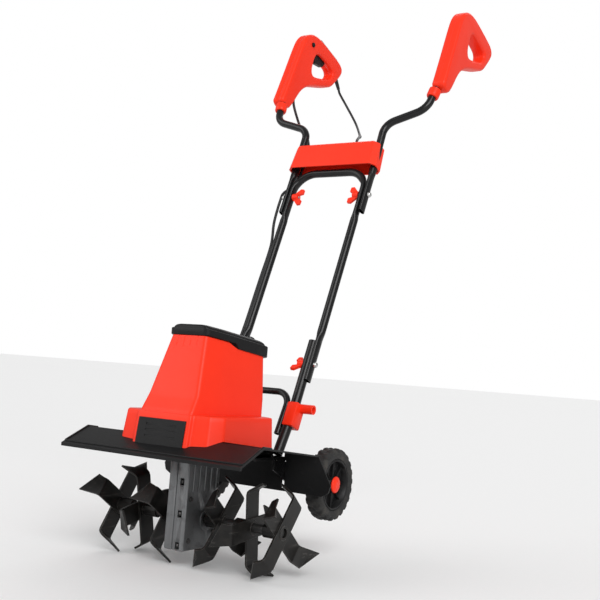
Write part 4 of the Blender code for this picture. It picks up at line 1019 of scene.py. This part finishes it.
def makeTines():
    for row in ("inner", "middle", "outer"):
        for word, _ in sides:
            node = "tine_%s_%s" % (row, word)
            name = "blades_%s_%s" % (row, word)
            star = rounded(name, node, blade["edge"], blade["segments"], blade["angle"])
            settle(star, "tine_shaft", "tine_steel", node)


# small pieces keep their own shape: the piece's name, its body and how far its corners are rounded
smallPieces = {
    "frame_clamp": ("clampBody", "base", 0.0012),
    "cross_cover": ("crossCover", "upper", 0.0024),
    "trigger": ("triggerLever", "trigger", 0.0012),
    "lock_button": ("lockButton", "lock_button", 0.0008),
    "cord_relief": ("cordRelief", "upper", 0.0004),
    "rear_bracket": ("wheelBracket", "base", 0.0008),
}
for level, body in (("lower", "base"), ("upper", "middle")):
    for word, _ in sides:
        spot = "%s_%s" % (level, word)
        smallPieces["wing_knob_" + spot] = ("wingKnob_" + spot, "knob_" + spot, 0.0013)
        smallPieces["pivot_bolt_" + spot] = ("pivotBolt_" + spot, body, 0.0003)
for number in (1, 2, 3):
    smallPieces["gear_case_bolt_%d" % number] = ("caseBolt_%d" % number, "base", 0.0005)


def makeSmallPieces():
    for node, (name, body, width) in smallPieces.items():
        settle(rounded(name, node, width, 3), body, nodeSlot[node], node)


makeGearCase()
makeTines()
makeSmallPieces()
print("case, tines and small pieces made")

# what stays as it is takes its finish on its own slots
for node, piece in nodes.items():
    if not piece.hide_render:
        for number in range(len(piece.data.materials)):
            piece.data.materials[number] = finishes[nodeSlot[node]]

# plain pale floor and soft studio light
studio = {"floor": (0.92, 0.92, 0.92), "speck": 90, "speckShade": 0.97, "reach": 400, "drop": 0.0005,
          "sky": (1.0, 1.0, 1.0), "skyPower": 0.42, "softness": 40, "aim": (0, 0.2, 0.55)}
lamps = {"key": (2.1, (2.2, -1.9, 2.3)), "fill": (0.75, (-1.8, -1.6, 1.8)), "back": (0.5, (-0.6, 2.4, 2.4))}


def makeFloor():
    low = cadBox[0][2] - studio["drop"]
    width = studio["reach"]
    points = [(-width, -width, low), (width, -width, low), (width, width, low), (-width, width, low)]
    floor = newPiece("floor", points, [(0, 1, 2, 3)])
    made = Finish("paleFloor")
    speck = made.cloud(studio["speck"], 5)
    colour = made.tint(speck, studio["floor"], tuple(studio["speckShade"] * c for c in studio["floor"]))
    floor.data.materials.append(made.done(colour, 0.75 + 0.1 * speck, speck, 0.0001))


# the backdrop looks white, and lights the object less
def makeSky():
    world = bpy.data.worlds.new("studio")
    world.use_nodes = True
    tree = world.node_tree
    back = tree.nodes["Background"]
    back.inputs["Color"].default_value = (*studio["sky"], 1)
    seen = tree.nodes.new("ShaderNodeLightPath").outputs["Is Camera Ray"]
    power = tree.nodes.new("ShaderNodeMapRange")
    power.inputs["To Min"].default_value = studio["skyPower"]
    power.inputs["To Max"].default_value = 1.0
    tree.links.new(seen, power.inputs["Value"])
    tree.links.new(power.outputs[0], back.inputs["Strength"])
    bpy.context.scene.world = world


def makeLamps():
    for name, (strength, place) in lamps.items():
        data = bpy.data.lights.new(name, "SUN")
        data.energy = strength
        data.angle = math.radians(studio["softness"])
        lamp = bpy.data.objects.new(name, data)
        lamp.location = place
        aim = Vector(studio["aim"]) - Vector(place)
        lamp.rotation_euler = aim.to_track_quat("-Z", "Y").to_euler()
        bpy.context.scene.collection.objects.link(lamp)


makeFloor()
makeSky()
makeLamps()
bpy.context.scene.view_settings.view_transform = "Standard"
print("studio lit")
